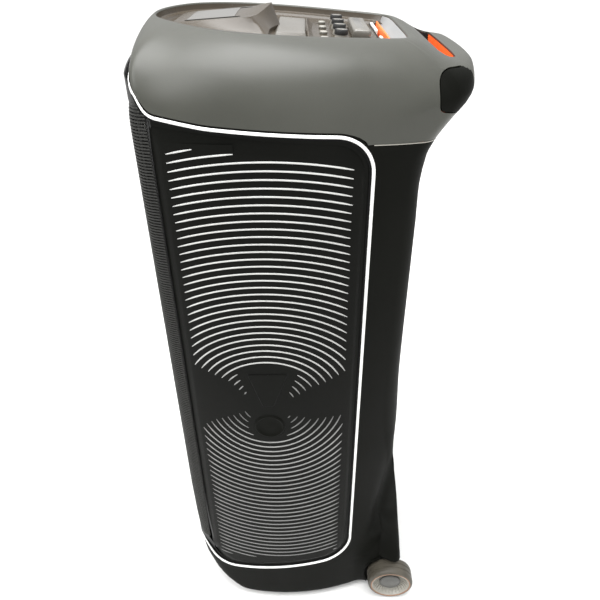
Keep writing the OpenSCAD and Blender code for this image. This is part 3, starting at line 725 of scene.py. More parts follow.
def build_cabinet():
    """skin of the cabinet from the foot to the trim line, cut open inside the trim line"""
    foot = [UNDERSIDE_Z, 12.5, 14.5, 17.5, 22, 29, 36]
    arch = [92, 93.25, 93.75, 96, 100, 105, 112]
    levels = np.r_[foot, np.arange(44, 92, 6), arch, np.arange(120, 440, 8), np.arange(448, 840, 28),
                   np.arange(848, 920, 7), [SEAM_Z]]
    rows = []
    for z in levels:
        # rounded lower edge
        t = 6.0 * (1 - math.sqrt(max(0.0, 1 - (1 - min(1.0, (z - UNDERSIDE_Z) / 8.0)) ** 2)))
        row = []
        for i in range(N_OUT):
            zz = z
            x, y = body_point(i, zz)
            c = math.hypot(x, y + 30)
            if z > 848 and y > TRIM_END_Y:
                zz = z + (seam_z(y) - SEAM_Z) * (z - 848) / 77
                x, y = body_point(i, zz)
            row.append((x * (1 - t / max(c, 1)), (y + 30) * (1 - t / max(c, 1)) - 30, zz))
        rows.append(row)
    # upper rows climb to the trim line where it is above the seam
    for f in (0.34, 0.67, 1.0):
        row = []
        for i in range(N_OUT):
            z0 = seam_z(body_point(i, SEAM_Z)[1])
            z = z0 + (max(ZB[i] - 0.9, z0) - z0) * f
            x, y = body_point(i, z)
            row.append((x, y, z))
        rows.append(row)
    verts, nu = [], None
    for row in rows:
        loop = mirror_half(np.array([(a, b) for a, b, c in row]))
        zz = [c for a, b, c in row]
        zz = zz + zz[1:-1][::-1]
        nu = len(loop)
        verts += [(loop[k][0], loop[k][1], zz[k]) for k in range(nu)]
    faces = grid_faces(nu, len(rows), True)
    # underside
    cen = len(verts)
    verts.append((0, -20, UNDERSIDE_Z))
    faces += [(k, cen, (k + 1) % nu) for k in range(nu)]
    ob = new_object("cabinet_skin", verts, faces, M["shell"])
    clean(ob)
    thicken(ob, 4.0)
    # everything inside the trim line is open and filled by the grille and the side panels
    opening = resample(half_curve(TRIM_CUT), 3.0, True)
    bool_cut(ob, prism("trim_cut", [tuple(p) for p in opening], "x", -270, 270))
    auto_smooth(ob, 32)
    return ob


cabinet = build_cabinet()
ride(cabinet, "cabinet", "shell", "cabinet_shell", "base_moulding")


# ---------------------------------------------------------------- hood skin
def deck_match():
    """deck rim point for every outline index"""
    out = deck_outline(1.0)
    d = np.r_[0, np.cumsum(np.linalg.norm(np.diff(out, axis=0), axis=1))]

    def arc_at(x, y):
        return d[int(np.argmin(np.hypot(out[:, 0] - x, out[:, 1] - y)))]

    def idx_side(y):
        return I_SIDE + int(np.argmin(np.abs(section(980.0)[I_SIDE:I_REAR, 1] - y)))
    keys = [(0, 0.0), (I_CORNER, arc_at(88, -106)), (I_SIDE, arc_at(112, -85)), (idx_side(-120), arc_at(134, -45)),
            (idx_side(-40), arc_at(145, 8)), (idx_side(40), arc_at(143, 82)), (idx_side(100), arc_at(131, 128)),
            (idx_side(150), arc_at(117, 158)), (I_REAR, arc_at(110, 172)), (I_BACK, arc_at(90, 183)),
            (N_OUT - 1, d[-1])]
    s = np.interp(np.arange(N_OUT), *zip(*keys))
    # soften the joins between key stretches
    for _ in range(30):
        s[1:-1] = 0.25 * s[:-2] + 0.5 * s[1:-1] + 0.25 * s[2:]
    return np.stack([np.interp(s, d, out[:, 0]), np.interp(s, d, out[:, 1])], 1)


DECK = deck_match()


FRONT_DROP, FRONT_N = 92.0, 1.72
SIDE_DROP, SIDE_N = 92.0, 2.05
EDGE_DROP, EDGE_N = 66.0, 1.5
GRIP_DROP = 46.0
# profile of the handle from its rear face (0, 0) to the deck rim (1, 1)
GRIP_PROFILE = [(0, 0), (0.002, 0.12), (0.012, 0.27), (0.035, 0.39), (0.075, 0.445), (0.13, 0.475), (0.2, 0.495),
                (0.32, 0.515), (0.45, 0.56), (0.56, 0.64), (0.66, 0.735), (0.76, 0.85), (0.87, 0.945), (1, 1)]


def grip_share(i, x):
    """how far outline index i takes the handle's profile, 0 to 1"""
    return smooth(182, 70, x) if i >= I_REAR else 0.0


def hood_shape(i):
    """start height of the roll and exponent at outline index i"""
    x, y = section(980.0)[i]
    zr = deck_to_row(*DECK[i])[2]
    if y < 0:
        g = smooth(-185, -60, y)
        drop = FRONT_DROP * (1 - g) + SIDE_DROP * g
        n = FRONT_N * (1 - g) + SIDE_N * g
    else:
        g = smooth(70, 180, y)
        k = grip_share(i, x)
        drop = SIDE_DROP * (1 - g) + (EDGE_DROP * (1 - k) + GRIP_DROP * k) * g
        n = SIDE_N * (1 - g) + EDGE_N * g
    return zr - drop, zr, n


def hood_rows():
    """rows of the hood from its lower edge to the deck rim"""
    rows = []
    m = 7
    for j in range(m):
        row = []
        for i in range(N_OUT):
            zs = max(hood_shape(i)[0], ZB[i] + 6)
            z = ZB[i] + (zs - ZB[i]) * j / m
            x, y = body_point(i, z)
            row.append((x, y, z))
        rows.append(row)
    k = 22
    grip = resample(np.array(GRIP_PROFILE, float), 0.001)
    grip = grip[np.linspace(0, len(grip) - 1, k + 1).astype(int)]
    for j in range(k + 1):
        ph = math.pi / 2 * j / k
        row = []
        for i in range(N_OUT):
            zs, zr, n = hood_shape(i)
            zs = max(zs, ZB[i] + 6)
            x, y = body_point(i, zs)
            dx, dy, dz = deck_to_row(*DECK[i])
            a = 1 - math.cos(ph) ** (2 / n) if j < k else 1.0
            b = math.sin(ph) ** (2 / n)
            w = grip_share(i, x)
            a, b = a + (grip[j][0] - a) * w, b + (grip[j][1] - b) * w
            row.append((x + (dx - x) * a, y + (dy - y) * a, zs + (dz - zs) * b))
        rows.append(row)
    return rows


def relaxed(rows, rounds=26):
    """evens out the front and the front corner, seam rows and rim kept"""
    a = np.array(rows, float)
    last = I_REAR - 8
    w = np.array([smooth(last, last - 24, i) for i in range(a.shape[1])])[None, :, None]
    for _ in range(rounds):
        ext = np.concatenate([a[:, 1:2] * [-1, 1, 1], a, a[:, -1:]], 1)
        b = 0.5 * a + 0.25 * (ext[:, :-2] + ext[:, 2:])
        b[1:-1] = 0.5 * b[1:-1] + 0.25 * (b[:-2] + b[2:])
        fade = np.clip((np.arange(len(a)) - 1) / 4.0, 0, 1) * np.clip((len(a) - 1 - np.arange(len(a))) / 3.0, 0, 1)
        m = w * fade[:, None, None]
        a = a + (b - a) * m
    return [[tuple(p) for p in r] for r in a]


def build_hood():
    """hood from the trim line over the roll to the lip inside the deck rim"""
    rows = relaxed(hood_rows())
    # rim lip: small round over, then down inside
    rim = []
    for ins, dz in ((1.2, -0.4), (2.2, -1.4), (2.6, -3.0), (2.6, -9.0)):
        row = []
        for i in range(N_OUT):
            a = DECK[i]
            b = DECK[max(i - 1, 0)]
            c = DECK[min(i + 1, N_OUT - 1)]
            tx, ty = c[0] - b[0], c[1] - b[1]
            ln = math.hypot(tx, ty) + 1e-9
            nx, ny = -ty / ln, tx / ln
            if i == 0:
                nx, ny = 0.0, 1.0
            if i == N_OUT - 1:
                nx, ny = 0.0, -1.0
            row.append(deck_to_row(a[0] + nx * ins, a[1] + ny * ins, dz))
        rim.append(row)
    rows = rows + rim
    verts = []
    for row in rows:
        right = [tuple(p) for p in row]
        left = [(-p[0], p[1], p[2]) for p in right[1:-1][::-1]]
        verts += right + left
        nu = len(right) + len(left)
    faces = grid_faces(nu, len(rows), True)
    ob = new_object("hood_skin", verts, faces, M["hood"])
    clean(ob)
    return ob


hood = build_hood()
orient(hood, (0, 0, 900))
probe = bmesh.new()
probe.from_mesh(hood.data)
HOOD_TREE = BVHTree.FromBMesh(probe)
probe.free()
SLOT_Q = [(-92, 171.5, 16), (-45, 167, 60), (45, 167, 60), (92, 171.5, 16), (104, 182, 7), (94, 193, 8),
          (-94, 193, 8), (-104, 182, 7)]
slot_poly = round_poly(SLOT_Q, 6)
punch(hood, slot_poly, "z", 985, 1100)
# pockets for the grip end covers
COVER = [(166, 951, 9), (196, 943, 6), (240, 943, 0), (240, 991, 0), (196, 993, 6), (163, 995, 13)]
for s in (1, -1):
    punch(hood, round_poly(COVER, 6, 0.4), "x", *sorted((s * HANDLE_X0, s * HANDLE_X1)))
thicken(hood, 2.2)
auto_smooth(hood, 34)
ride(hood, "cabinet", "hood", "hood_shell")


def hood_patch(name, poly, s, lift, thick):
    """piece of the hood's own surface inside a y-z outline"""
    rows = hood_rows()
    n = len(rows)
    verts = []
    for row in rows:
        verts += [(s * p[0], p[1], p[2]) for p in row]
    faces = grid_faces(N_OUT, n, False, flip=(s < 0))
    ob = new_object(name, verts, faces, M["shell"])
    clean(ob)
    orient(ob, (0, 0, 900))
    punch(ob, round_poly(poly, 6, -0.9), "x", *sorted((s * HANDLE_X0, s * HANDLE_X1)), True)
    thicken(ob, thick)
    for v in ob.data.vertices:
        v.co += Vector((s * 0.6, 0.6, 0.05)).normalized() * lift * MM
    auto_smooth(ob, 34)
    return ob


for s, side in ((1, "right"), (-1, "left")):
    p = hood_patch("grip_patch_" + side, COVER, s, 0.2, 3.0)
    ride(p, "cabinet", "shell", "grip_cover_" + side)


# ---------------------------------------------------------------- points on the skin
def skin_y(y, z, t=0.0):
    """x on the right side at depth y, height z, inset t, and the outward normal"""
    p = section(z, t)
    q = p[:I_REAR]
    x = float(np.interp(y, q[:, 1], q[:, 0]))
    k = int(np.clip(np.searchsorted(q[:, 1], y), 1, len(q) - 1))
    d = q[k] - q[k - 1]
    n = np.array([d[1], -d[0], 0.0])
    return np.array([x, y, z]), n / np.linalg.norm(n)


def flat_y(y, z, t=0.0):
    """as skin_y for the round side alone, done quickly"""
    x = side_x(y, t)
    n = np.array([x - SIDE_X, y - SIDE_Y, 0.0])
    return np.array([x, y, z]), n / np.linalg.norm(n)


def outline_normal(p, i):
    """outward normal of an outline at index i"""
    d = p[min(i + 1, len(p) - 1)] - p[max(i - 1, 0)]
    n = np.array([d[1], -d[0], 0.0]) if i else np.array([0.0, -1.0, 0.0])
    return n / np.linalg.norm(n)


def trim_path(off=0.0, step=4.0):
    """closed loop of the trim line on the skin with normals"""
    up, lo = line_tables(off)
    s = section(980.0)
    pts, nrm = [], []
    # top from the front middle back to the corner
    for i in range(0, I_SIDE + 4):
        y = s[i][1]
        for _ in range(4):
            z = look_up(up, y)
            c = section(z)[i]
            y = c[1]
        pts.append((c[0], y, z))
        nrm.append(outline_normal(s, i))
    y0 = s[I_SIDE + 3][1]
    mid = [p for p in resample(half_curve(off), step) if p[0] > y0 + 2]
    if mid[0][1] < mid[-1][1]:
        mid = mid[::-1]
    for y, z in mid:
        p, n = skin_y(y, z)
        pts.append(tuple(p))
        nrm.append(n)
    for i in range(I_SIDE + 3, -1, -1):
        y = s[i][1]
        for _ in range(3):
            z = look_up(lo, y)
            q = section(z)
            y = q[i][1]
        pts.append((q[i][0], y, z))
        nrm.append(outline_normal(q, i))
    pts, nrm = np.array(pts), np.array(nrm)
    left, ln = pts[1:-1][::-1] * [-1, 1, 1], nrm[1:-1][::-1] * [-1, 1, 1]
    return np.vstack([pts, left]), np.vstack([nrm, ln])


TP, TN = trim_path()
band = [(-1.95, -2.2), (-1.95, 0.3), (-1.5, 0.9), (-0.7, 1.2), (0.7, 1.2), (1.5, 0.9), (1.95, 0.3), (1.95, -2.2)]
band_w = [0.32 + 0.68 * smooth(-196, -150, p[1]) for p in TP]
piece("trim_band", sweep(TP, TN, band, True, band_w), "trim", "cabinet", "trim", "trim_loop", sharp=50)
# black strip behind the trim's edges: painted shade for the shadowed gaps either side of the trim
piece("trim_gap_shade", sweep(TP, TN, [(-5.0, -4.5), (-5.0, -1.2), (5.0, -1.2), (5.0, -4.5)], True), "gap", "cabinet",
      "black")

# pale line along the seam between hood and cabinet, rear half only: a painted highlight standing for the light caught
# by the seam's edge
sp, sn = [], []
q = section(SEAM_Z)
for i in range(I_SIDE, N_OUT):
    if q[i][1] > 86:
        z = seam_z(q[i][1])
        c = section(z)[i]
        sp.append((c[0], c[1], z + 0.1))
        sn.append(outline_normal(q, i))
sp, sn = np.array(sp), np.array(sn)
sp = np.vstack([sp, sp[:-1][::-1] * [-1, 1, 1]])
sn = np.vstack([sn, sn[:-1][::-1] * [-1, 1, 1]])
piece("seam_painted_highlight", sweep(sp, sn, [(-0.5, -2.0), (-0.5, 0.15), (0.5, 0.15), (0.5, -2.0)]), "hub", "cabinet", "trim")

# ---------------------------------------------------------------- grille
slat_prof = [(-1.05, -1.6), (-1.1, -0.5), (-0.6, 0.0), (0.6, 0.0), (1.1, -0.5), (1.05, -1.6)]
SLAT_PITCH = 4.0
SLAT_DEPTH = 0.8
SLAT_END_Y = -172.5
UP_IN, LO_IN = line_tables(-3.2)


def grille_inset(z):
    """depth of the slats below the skin, more where they run up under the hood"""
    return SLAT_DEPTH + 2.6 * smooth(965, 1000, z)


def slat_rows():
    """all slats as swept strips that end short of the side panels"""
    verts, faces = [], []
    z = 166.0
    while z < 1008:
        p = section(z, grille_inset(z))[:I_SIDE + 30]
        ok = []
        for i, (x, y) in enumerate(p):
            if y > SLAT_END_Y:
                break
            if look_up(LO_IN, y) < z < look_up(UP_IN, y):
                ok.append(i)
            elif ok:
                break
        if len(ok) > 4 and ok[0] == 0:
            i1 = ok[-1] + 1
            pts = [(x, y, z) for x, y in p[:i1]]
            if p[min(i1, len(p) - 1)][1] > SLAT_END_Y:
                a, b = p[i1 - 1], p[i1]
                g = (SLAT_END_Y - a[1]) / (b[1] - a[1])
                pts.append((a[0] + (b[0] - a[0]) * g, SLAT_END_Y, z))
            pts = np.array(pts)
            d = np.gradient(pts, axis=0)
            n = np.stack([d[:, 1], -d[:, 0], 0 * d[:, 0]], 1)
            n /= np.linalg.norm(n, axis=1)[:, None]
            n[0] = (0, -1, 0)
            pts = np.vstack([pts[::-1] * [-1, 1, 1], pts[1:]])
            n = np.vstack([n[::-1] * [-1, 1, 1], n[1:]])
            v, f = sweep(pts, n, slat_prof)
            b = len(verts)
            verts += list(v)
            faces += [tuple(k + b for k in q) for q in f]
            m = len(slat_prof)
            faces.append(tuple(b + k for k in range(m)))
            faces.append(tuple(b + len(v) - m + k for k in range(m))[::-1])
        z += SLAT_PITCH
    return verts, faces


v, f = slat_rows()
slats = new_object("grille_slats", v, f, M["grille"])
auto_smooth(slats, 60)
ride(slats, "cabinet", "grille", "front_grille")
# upright stiffeners behind the slats, following their lean
STIFFENER_HALF = 1.5
v, f = [], []
start = section(500.0, SLAT_DEPTH)
for i in list(range(0, I_SIDE, 4)) + [I_SIDE + 2]:
    for s in ((1, -1) if i else (1,)):
        y = start[i][1]
        z0 = look_up(LO_IN, y) + (5 if i > I_CORNER else 2)
        z1 = look_up(UP_IN, y) - (8 if i > I_CORNER else 6)
        b = len(v)
        levels = np.linspace(z0, z1, 25)
        for z in levels:
            p = section(z, grille_inset(z) + 1.9)
            dx = p[i + 1] - p[max(i - 1, 0)]
            n = np.array([dx[1] * s, -dx[0]]) if i else np.array([0.0, -1.0])
            n = n / np.linalg.norm(n)
            tq = np.array([-n[1], n[0]])
            c = p[i] * [s, 1]
            tq, n = tq * STIFFENER_HALF, n * STIFFENER_HALF
            v += [(a[0], a[1], z) for a in (c + tq, c - tq, c - tq - n, c + tq - n)]
        for a in range(b, len(v) - 4, 4):
            f += [(a + k, a + 4 + k, a + 4 + (k + 1) % 4, a + (k + 1) % 4) for k in range(4)]
        e = b + 4 * (len(levels) - 1)
        f += [(b, b + 1, b + 2, b + 3), (e + 3, e + 2, e + 1, e)]
piece("grille_stiffeners", (v, f), "black", "cabinet", "grille")


# ---------------------------------------------------------------- side panels
def even_poly(q, n_arc=8, n_seg=26):
    """rounded polygon with the same count of points whatever its corner sizes"""
    pts = round_poly(q, n_arc)
    m = n_arc + 1
    out = []
    k = len(q)
    for i in range(k):
        arc = pts[i * m:(i + 1) * m]
        nxt = pts[((i + 1) % k) * m]
        out += list(arc)
        for j in range(1, n_seg):
            out.append(arc[-1] + (nxt - arc[-1]) * j / n_seg)
    return np.array(out)


EDGE_GAP = 6.6


def panel_quad(top, left, right, bottom, r):
    """panel outline inset from its own border by separate amounts"""
    y0, y1 = -170.6 + left, 83.5 - right
    ta, tb = 966 - EDGE_GAP, 935 - EDGE_GAP
    slope = (tb - ta) / 261.0
    z_top0 = ta + slope * (y0 + 171) - top
    z_top1 = ta + slope * (y1 + 171) - top
    lo = (121 - 90) / 248.0
    z_lo0 = 90 + EDGE_GAP + lo * (y0 + 158) + bottom
    z_lo1 = 90 + EDGE_GAP + lo * (y1 + 158) + bottom
    # lower front corner follows the sloping trim
    z_mid = ta + slope * (-105 + 171) - top - 3.7
    return [(y1, z_top1, r[1]), (-105, z_mid, 200), (y0, z_top0, r[0]), (y0, z_lo0 + 50, 14),
            (y0 + 22, z_lo0 + 4, 24), (y1, z_lo1, r[2])]


def panel_mesh():
    """side panel: rounded edge, sunk chamfer and inner field"""
    return side_plate([
        (panel_quad(0, 0, 0, 0, (12, 44, 52)), 5.4),
        (panel_quad(0.3, 0.3, 0.3, 0.3, (12, 44, 52)), 4.2),
        (panel_quad(1.2, 1.1, 1.1, 1.1, (11.5, 43.5, 51.5)), 3.5),
        (panel_quad(17.0, 10.0, 7.0, 8.0, (10, 38, 46)), 0.8),
        (panel_quad(19.5, 12.0, 8.5, 9.5, (9, 36, 44)), 0.5),
    ])


def side_plate(rings, steps=14):
    """plate on the curved side: outlines in y, z with their depth below the skin, closed across the middle"""
    verts = []
    loops = []
    for q, t in rings:
        p = even_poly(q)
        loops.append(len(p))
        for y, z in p:
            verts.append(flat_y(y, z, t)[0])
    n = loops[0]
    faces = grid_faces(n, len(rings), True)
    p = even_poly(rings[-1][0])
    yc = p[:, 0].mean()
    t_in = rings[-1][1]
    b = len(verts) - n
    for k in range(1, steps):
        g = 1 - k / steps
        for y, z in p:
            yy = yc + (y - yc) * g
            verts.append(flat_y(yy, z, t_in)[0])
        faces += grid_faces(n, 2, True, base=b)
        b += n
    # close along the upright middle line
    top, bot = p[:, 1].max(), p[:, 1].min()
    for y, z in p:
        verts.append(flat_y(yc, z, t_in)[0])
    faces += grid_faces(n, 2, True, base=b)
    return verts, faces


RIDGE_MID = 534.5
RIDGE_PITCH = 10.65
# lower end of the upper family and upper end of the lower family over y
BOW_UP = [(-155, 601), (-117, 583), (-102, 577), (-74, 544), (-47, 540), (-20, 544), (0, 554), (17, 567),
          (32, 570), (66, 588)]
BOW_LOW = [(-155, 474), (-130, 494), (-111, 503), (-84, 518), (-47, 522), (-14, 510), (6, 506), (15, 500), (66, 500)]
BOSS_Y, BOSS_Z = -47.0, 488.5
ridge_prof = [(-1.25, -0.5), (-1.05, 0.4), (-0.65, 0.95), (0.0, 1.1), (0.65, 0.95), (1.05, 0.4), (1.25, -0.5)]


def ridge_here(y, z, sgn, k):
    """whether arc k of the upper (1) or lower (-1) family is present at y, z"""
    if not -154 < y < 66:
        return False
    if sgn > 0:
        if z < np.interp(y, *zip(*BOW_UP)) or z > np.interp(y, (-155, -72, 62, 66), (933.6, 925.3, 907.5, 907)):
            return False
        drop = (592 - z) / 48.0
        return k >= 0 or y < -90 + 16 * drop or y > -3 - 18 * drop
    if z > np.interp(y, *zip(*BOW_LOW)) or z < np.interp(y, (-154, 66), (128, 147)):
        return False
    return k >= 0 or math.hypot(y - BOSS_Y, z - BOSS_Z) > 33.5


def ridge_mesh():
    """both families of raised arcs on one side panel"""
    verts, faces = [], []
    for sgn in (1, -1):
        for k in range(-5 if sgn > 0 else -4, 40):
            r = (7.77 + k) * RIDGE_PITCH
            run = []
            for j in range(0, 721):
                a = math.radians(j * 0.25)
                y, z = SIDE_Y + r * math.cos(a), RIDGE_MID + sgn * r * math.sin(a)
                if ridge_here(y, z, sgn, k):
                    run.append((y, z))
            runs, cur = [], run[:1]
            for a, b in zip(run[:-1], run[1:]):
                if math.hypot(b[0] - a[0], b[1] - a[1]) > r * 0.007:
                    runs.append(cur)
                    cur = []
                cur.append(b)
            runs.append(cur)
            for rr in runs:
                if len(rr) < 3 or math.hypot(rr[0][0] - rr[-1][0], rr[0][1] - rr[-1][1]) < 5:
                    continue
                path = resample(np.array(rr), 2.5)
                pts, nrm = [], []
                for y, z in path:
                    p, n = flat_y(y, z, 0.5)
                    pts.append(p)
                    nrm.append(n)
                cnt = len(pts)
                d = np.minimum(np.arange(cnt), cnt - 1 - np.arange(cnt)) * 2.5
                taper = np.clip((d + 1.0) / min(14.0, 1.3 * cnt), 0.0, 1.0) ** 0.7
                v, f = sweep(pts, nrm, ridge_prof, False, taper * (1.0 if sgn > 0 else 0.9))
                b = len(verts)
                verts += list(v)
                faces += [tuple(i + b for i in q) for q in f]
    return verts, faces


def wedge_q(off):
    """outline of the plain wedge plate above the boss, grown by off"""
    return [(-17 + off, 595 + off, 3), (-76 - off, 594 + off, 3), (-56 - off * 0.6, 531 - off, 3),
            (-39 + off * 0.6, 531 - off, 3)]


PANEL, RIDGES = panel_mesh(), ridge_mesh()
# boss: disc with a raised ring
BOSS_PROF = [(24.0, -1.5), (23.8, -0.4), (22.6, 0.9), (21.2, 1.6), (19.8, 1.2), (18.4, -0.2), (17.6, -0.45),
             (8.0, -0.2), (0.01, 0.1)]
# the black ring round the wedge plate is painted shade for the groove round it
WEDGE = (("groove_shade", "gap", [(wedge_q(1.3), 1.2), (wedge_q(1.3), 0.42)]),
         ("wedge", "panel", [(wedge_q(0), 1.2), (wedge_q(0), 0.1), (wedge_q(-1.0), -0.4)]))
for s, side in ((1, "right"), (-1, "left")):
    def on_side(mesh):
        """a mesh of the right side, or its mirror image"""
        return [np.array(p) * [s, 1, 1] for p in mesh[0]], mesh[1]
    piece("panel_" + side, on_side(PANEL), "panel", "cabinet", "panel", "side_panel_" + side, sharp=25)
    piece("ridges_" + side, on_side(RIDGES), "ridge", "cabinet", "panel", sharp=60)
    for tag, mat, rings in WEDGE:
        piece("badge_%s_%s" % (tag, side), on_side(side_plate(rings, 6)), mat, "cabinet", "panel", sharp=25)
    disc, f = revolve(BOSS_PROF, 96, "x")
    v = []
    for x, y, z in disc:
        p, n = flat_y(BOSS_Y + y, BOSS_Z + z, 0.0)
        v.append(p + n * x)
    piece("boss_" + side, on_side((v, f)), "shell", "cabinet", "panel", "emblem_" + side, sharp=40)

# ---------------------------------------------------------------- deck
DECK_R = deck_outline(4.0)


def deck_inset(t):
    """right half outline moved inward by t with its shape kept"""
    o = DECK_R
    out = []
    n = len(o)
    for i in range(n):
        a, b = o[max(i - 1, 0)], o[min(i + 1, n - 1)]
        d = (b - a) / (np.linalg.norm(b - a) + 1e-9)
        nrm = np.array([-d[1], d[0]])
        if i == 0:
            nrm = np.array([0.0, 1.0])
        if i == n - 1:
            nrm = np.array([0.0, -1.0])
        out.append(o[i] + nrm * t)
    return np.array(out)


FLOOR_Z = -13.6
RIDGE_Y, RIDGE_BACK = 11.0, 23.0


def console_top(x, y):
    """crowned slope that carries the display, deck frame"""
    crown = 8.5 * max(0.0, 1 - abs(x) / 42.0) * smooth(-45, 10, y)
    return -8.0 + (y + 114) * 0.135 + crown


def deck_floor():
    """bowl inside the rim: stepped wall and flat floor"""
    loops = [(2.4, -2.0), (3.0, -5.0), (4.2, -8.6), (7.0, -10.2), (11.0, -10.8), (12.2, -12.6), (13.2, -13.6)]
    verts = []
    for t, z in loops:
        p = mirror_half(deck_inset(t))
        n = len(p)
        for x, y in p:
            verts.append((x, y, z))
    faces = grid_faces(n, len(loops), True)
    p = mirror_half(deck_inset(13.2))
    steps = 20
    b = len(verts) - n
    for k in range(1, steps):
        g = 1 - k / steps
        for x, y in p:
            verts.append((x * g, y, FLOOR_Z))
        faces += grid_faces(n, 2, True, base=b)
        b += n
    for x, y in p:
        verts.append((0.0, y, FLOOR_Z))
    faces += grid_faces(n, 2, True, base=b)
    return verts, faces


v, f = deck_floor()
deck = new_object("deck_bowl", v, f, M["deck"])
clean(deck)
orient(deck, (0, 0, -2000))
KNOB_X, KNOB_Y, KEY_Y = (-66, -22, 22, 66), 103, 83
RECESS_Q = [(-98, 155, 4), (98, 155, 4), (97, 171, 8), (-97, 171, 8)]
recess = round_poly(RECESS_Q, 8)
punch(deck, recess, "z", -40, 60)
for x in KNOB_X:
    for y, r in ((KNOB_Y, 4.6), (KEY_Y, 5.6)):
        c = [(x + r * math.cos(2 * math.pi * k / 24), y + r * math.sin(2 * math.pi * k / 24)) for k in range(24)]
        punch(deck, c, "z", -40, 20)
thicken(deck, 1.6)
auto_smooth(deck, 30)
to_deck(deck)
ride(deck, "cabinet", "deck", "deck_tray", "pad_plate")


def ridge_line(x):
    """depth of the console's rear ridge at x"""
    return RIDGE_Y - RIDGE_BACK * (abs(x) / 57.0) ** 1.15


def console_mesh():
    """wedge with a crowned top, V-shaped rear ridge, steep rear scarp and soft flanks"""
    nu, nv = 28, 24
    half = []
    for j in range(nv + 1):
        g = j / nv
        xe = 50 + 7 * g
        row = []
        for i in range(nu + 1):
            x = xe * i / nu
            y = -114 + g * (ridge_line(x) + 114)
            row.append((x, y, console_top(x, y)))
        half.append(row)
    verts, faces = [], []
    for row in half:
        verts += [(-x, y, z) for x, y, z in row[:0:-1]] + row
    w = 2 * nu + 1
    faces += grid_faces(w, nv + 1)
    # edge loop of the top on the right half, front middle to ridge middle, and its foot on the floor
    top = [half[0][i] for i in range(nu + 1)] + [half[j][nu] for j in range(1, nv + 1)]
    top += [half[nv][i] for i in range(nu - 1, -1, -1)]
    foot = []
    for k in range(len(top)):
        x, y, z = top[k]
        if k <= nu:
            g = k / nu
            foot.append((x + 26 * g ** 3, y - 16 * (1 - g ** 4) - 6 * g ** 4))
        elif k <= nu + nv:
            g = (k - nu) / nv
            foot.append((x + 26 + 9 * math.sin(math.pi * g) - 6 * g ** 4, y - 6 + 30 * g ** 3))
        else:
            g = (k - nu - nv) / nu
            foot.append((x + 20 * (1 - g) ** 3, y + 24 * (1 - g) ** 3 + 13 * (1 - (1 - g) ** 3)))
    loops = []
    for r in range(0, 7):
        f = r / 6
        row = []
        for k in range(len(top)):
            x, y, z = top[k]
            scarp = smooth(nu + nv - 1, nu + nv + 2, k)
            drop = f * scarp + (1 - scarp) * (1 - (1 - f) ** 1.7 * (1 - 0.25 * f))
            low = FLOOR_Z - 0.4 + 5.4 * scarp * smooth(nu + nv, nu + nv + 9, k)
            row.append((x + (foot[k][0] - x) * f, y + (foot[k][1] - y) * f, z + (low - z) * drop))
        loops.append(row)
    loops.append([(x, y, FLOOR_Z - 0.4) for x, y, z in loops[-1]])
    base = len(verts)
    for row in loops:
        verts += row + [(-x, y, z) for x, y, z in row[-2:0:-1]]
    m = 2 * len(top) - 2
    faces += grid_faces(m, len(loops), True, base=base)
    faces.append(tuple(len(verts) - m + k for k in range(m)))
    return verts, faces


piece("console_wedge", console_mesh(), "deck", "cabinet", "deck", "console", sharp=24, deck=True)


def slope_plate(name, x0, x1, y0, y1, lift, thick, mat, slot, *replaced, n=12):
    """thin sheet that follows the console top between x0..x1 and y0..y1"""
    verts, m = [], 10
    for z in (lift, lift - thick):
        for j in range(n + 1):
            for i in range(m + 1):
                x, y = x0 + (x1 - x0) * i / m, y0 + (y1 - y0) * j / n
                verts.append((x, y, console_top(x, y) + z))
    k = (m + 1) * (n + 1)
    faces = grid_faces(m + 1, n + 1) + grid_faces(m + 1, n + 1, False, True, k)
    edge = [i for i in range(m + 1)] + [(j + 1) * (m + 1) - 1 for j in range(1, n + 1)]
    edge += [n * (m + 1) + i for i in range(m - 1, -1, -1)] + [j * (m + 1) for j in range(n - 1, 0, -1)]
    faces += [(edge[a - 1], edge[a], edge[a] + k, edge[a - 1] + k) for a in range(len(edge))]
    return piece(name, (verts, faces), mat, "cabinet", slot, *replaced, sharp=30, deck=True)


# display glass, and black strips at both long edges as painted shade for the slits there
slope_plate("display_glass", -43, 43, -96, -34, 0.5, 1.4, "glass", "display", "display_window")
for k, (x0, y0, y1) in enumerate(((43.6, -98, -27), (-46.0, -66, -8))):
    slope_plate("console_slit_%d" % (k + 1), x0, x0 + 4.0, y0, y1, 0.35, 1.3, "gap", "black")

# raised plane behind the console, with a shallow dish
v = []
NX, NY = 40, 16
for j in range(NY + 1):
    for i in range(NX + 1):
        a, b = -1 + 2 * i / NX, j / NY
        x, y = a * (74 - 6 * b), 20 + b * 40
        edge = min(1.0, (1 - abs(a)) * 12, b * 10 + 0.001, (1 - b) * 10 + 0.001)
        dish = 1.8 * math.exp(-((x / 40) ** 2 + ((y - 36) / 15) ** 2))
        z = -13.9 + 5.4 * math.sqrt(max(0.0, 1 - (1 - edge) ** 2)) - dish
        v.append((x, y, z))
piece("pad_dish", (v, grid_faces(NX + 1, NY + 1)), "rim", "cabinet", "deck", thick=1.0, sharp=40, deck=True)

# curved fin
v = []
prof = [(0.0, -13.8), (1.2, -8.0), (2.2, -3.6), (3.2, -3.2), (4.6, -6.5), (7.6, -11.0), (11.0, -13.6),
        (11.0, -14.0), (0.0, -14.0)]
NX = 30
for i in range(NX + 1):
    x = -70 + 140 * i / NX
    k = 1 - (abs(x) / 72) ** 6
    for y, z in prof:
        v.append((x, 57 + y + 3.0 * (x / 70) ** 2, -14 + (z + 14) * k))
n = len(prof)
f = [(i * n + q, i * n + (q + 1) % n, (i + 1) * n + (q + 1) % n, (i + 1) * n + q)
     for i in range(NX) for q in range(n)]
f += [tuple(range(n))[::-1], tuple(NX * n + q for q in range(n))]
piece("pad_ridge", (v, f), "deck", "cabinet", "deck", "pad_fin", sharp=50, deck=True)

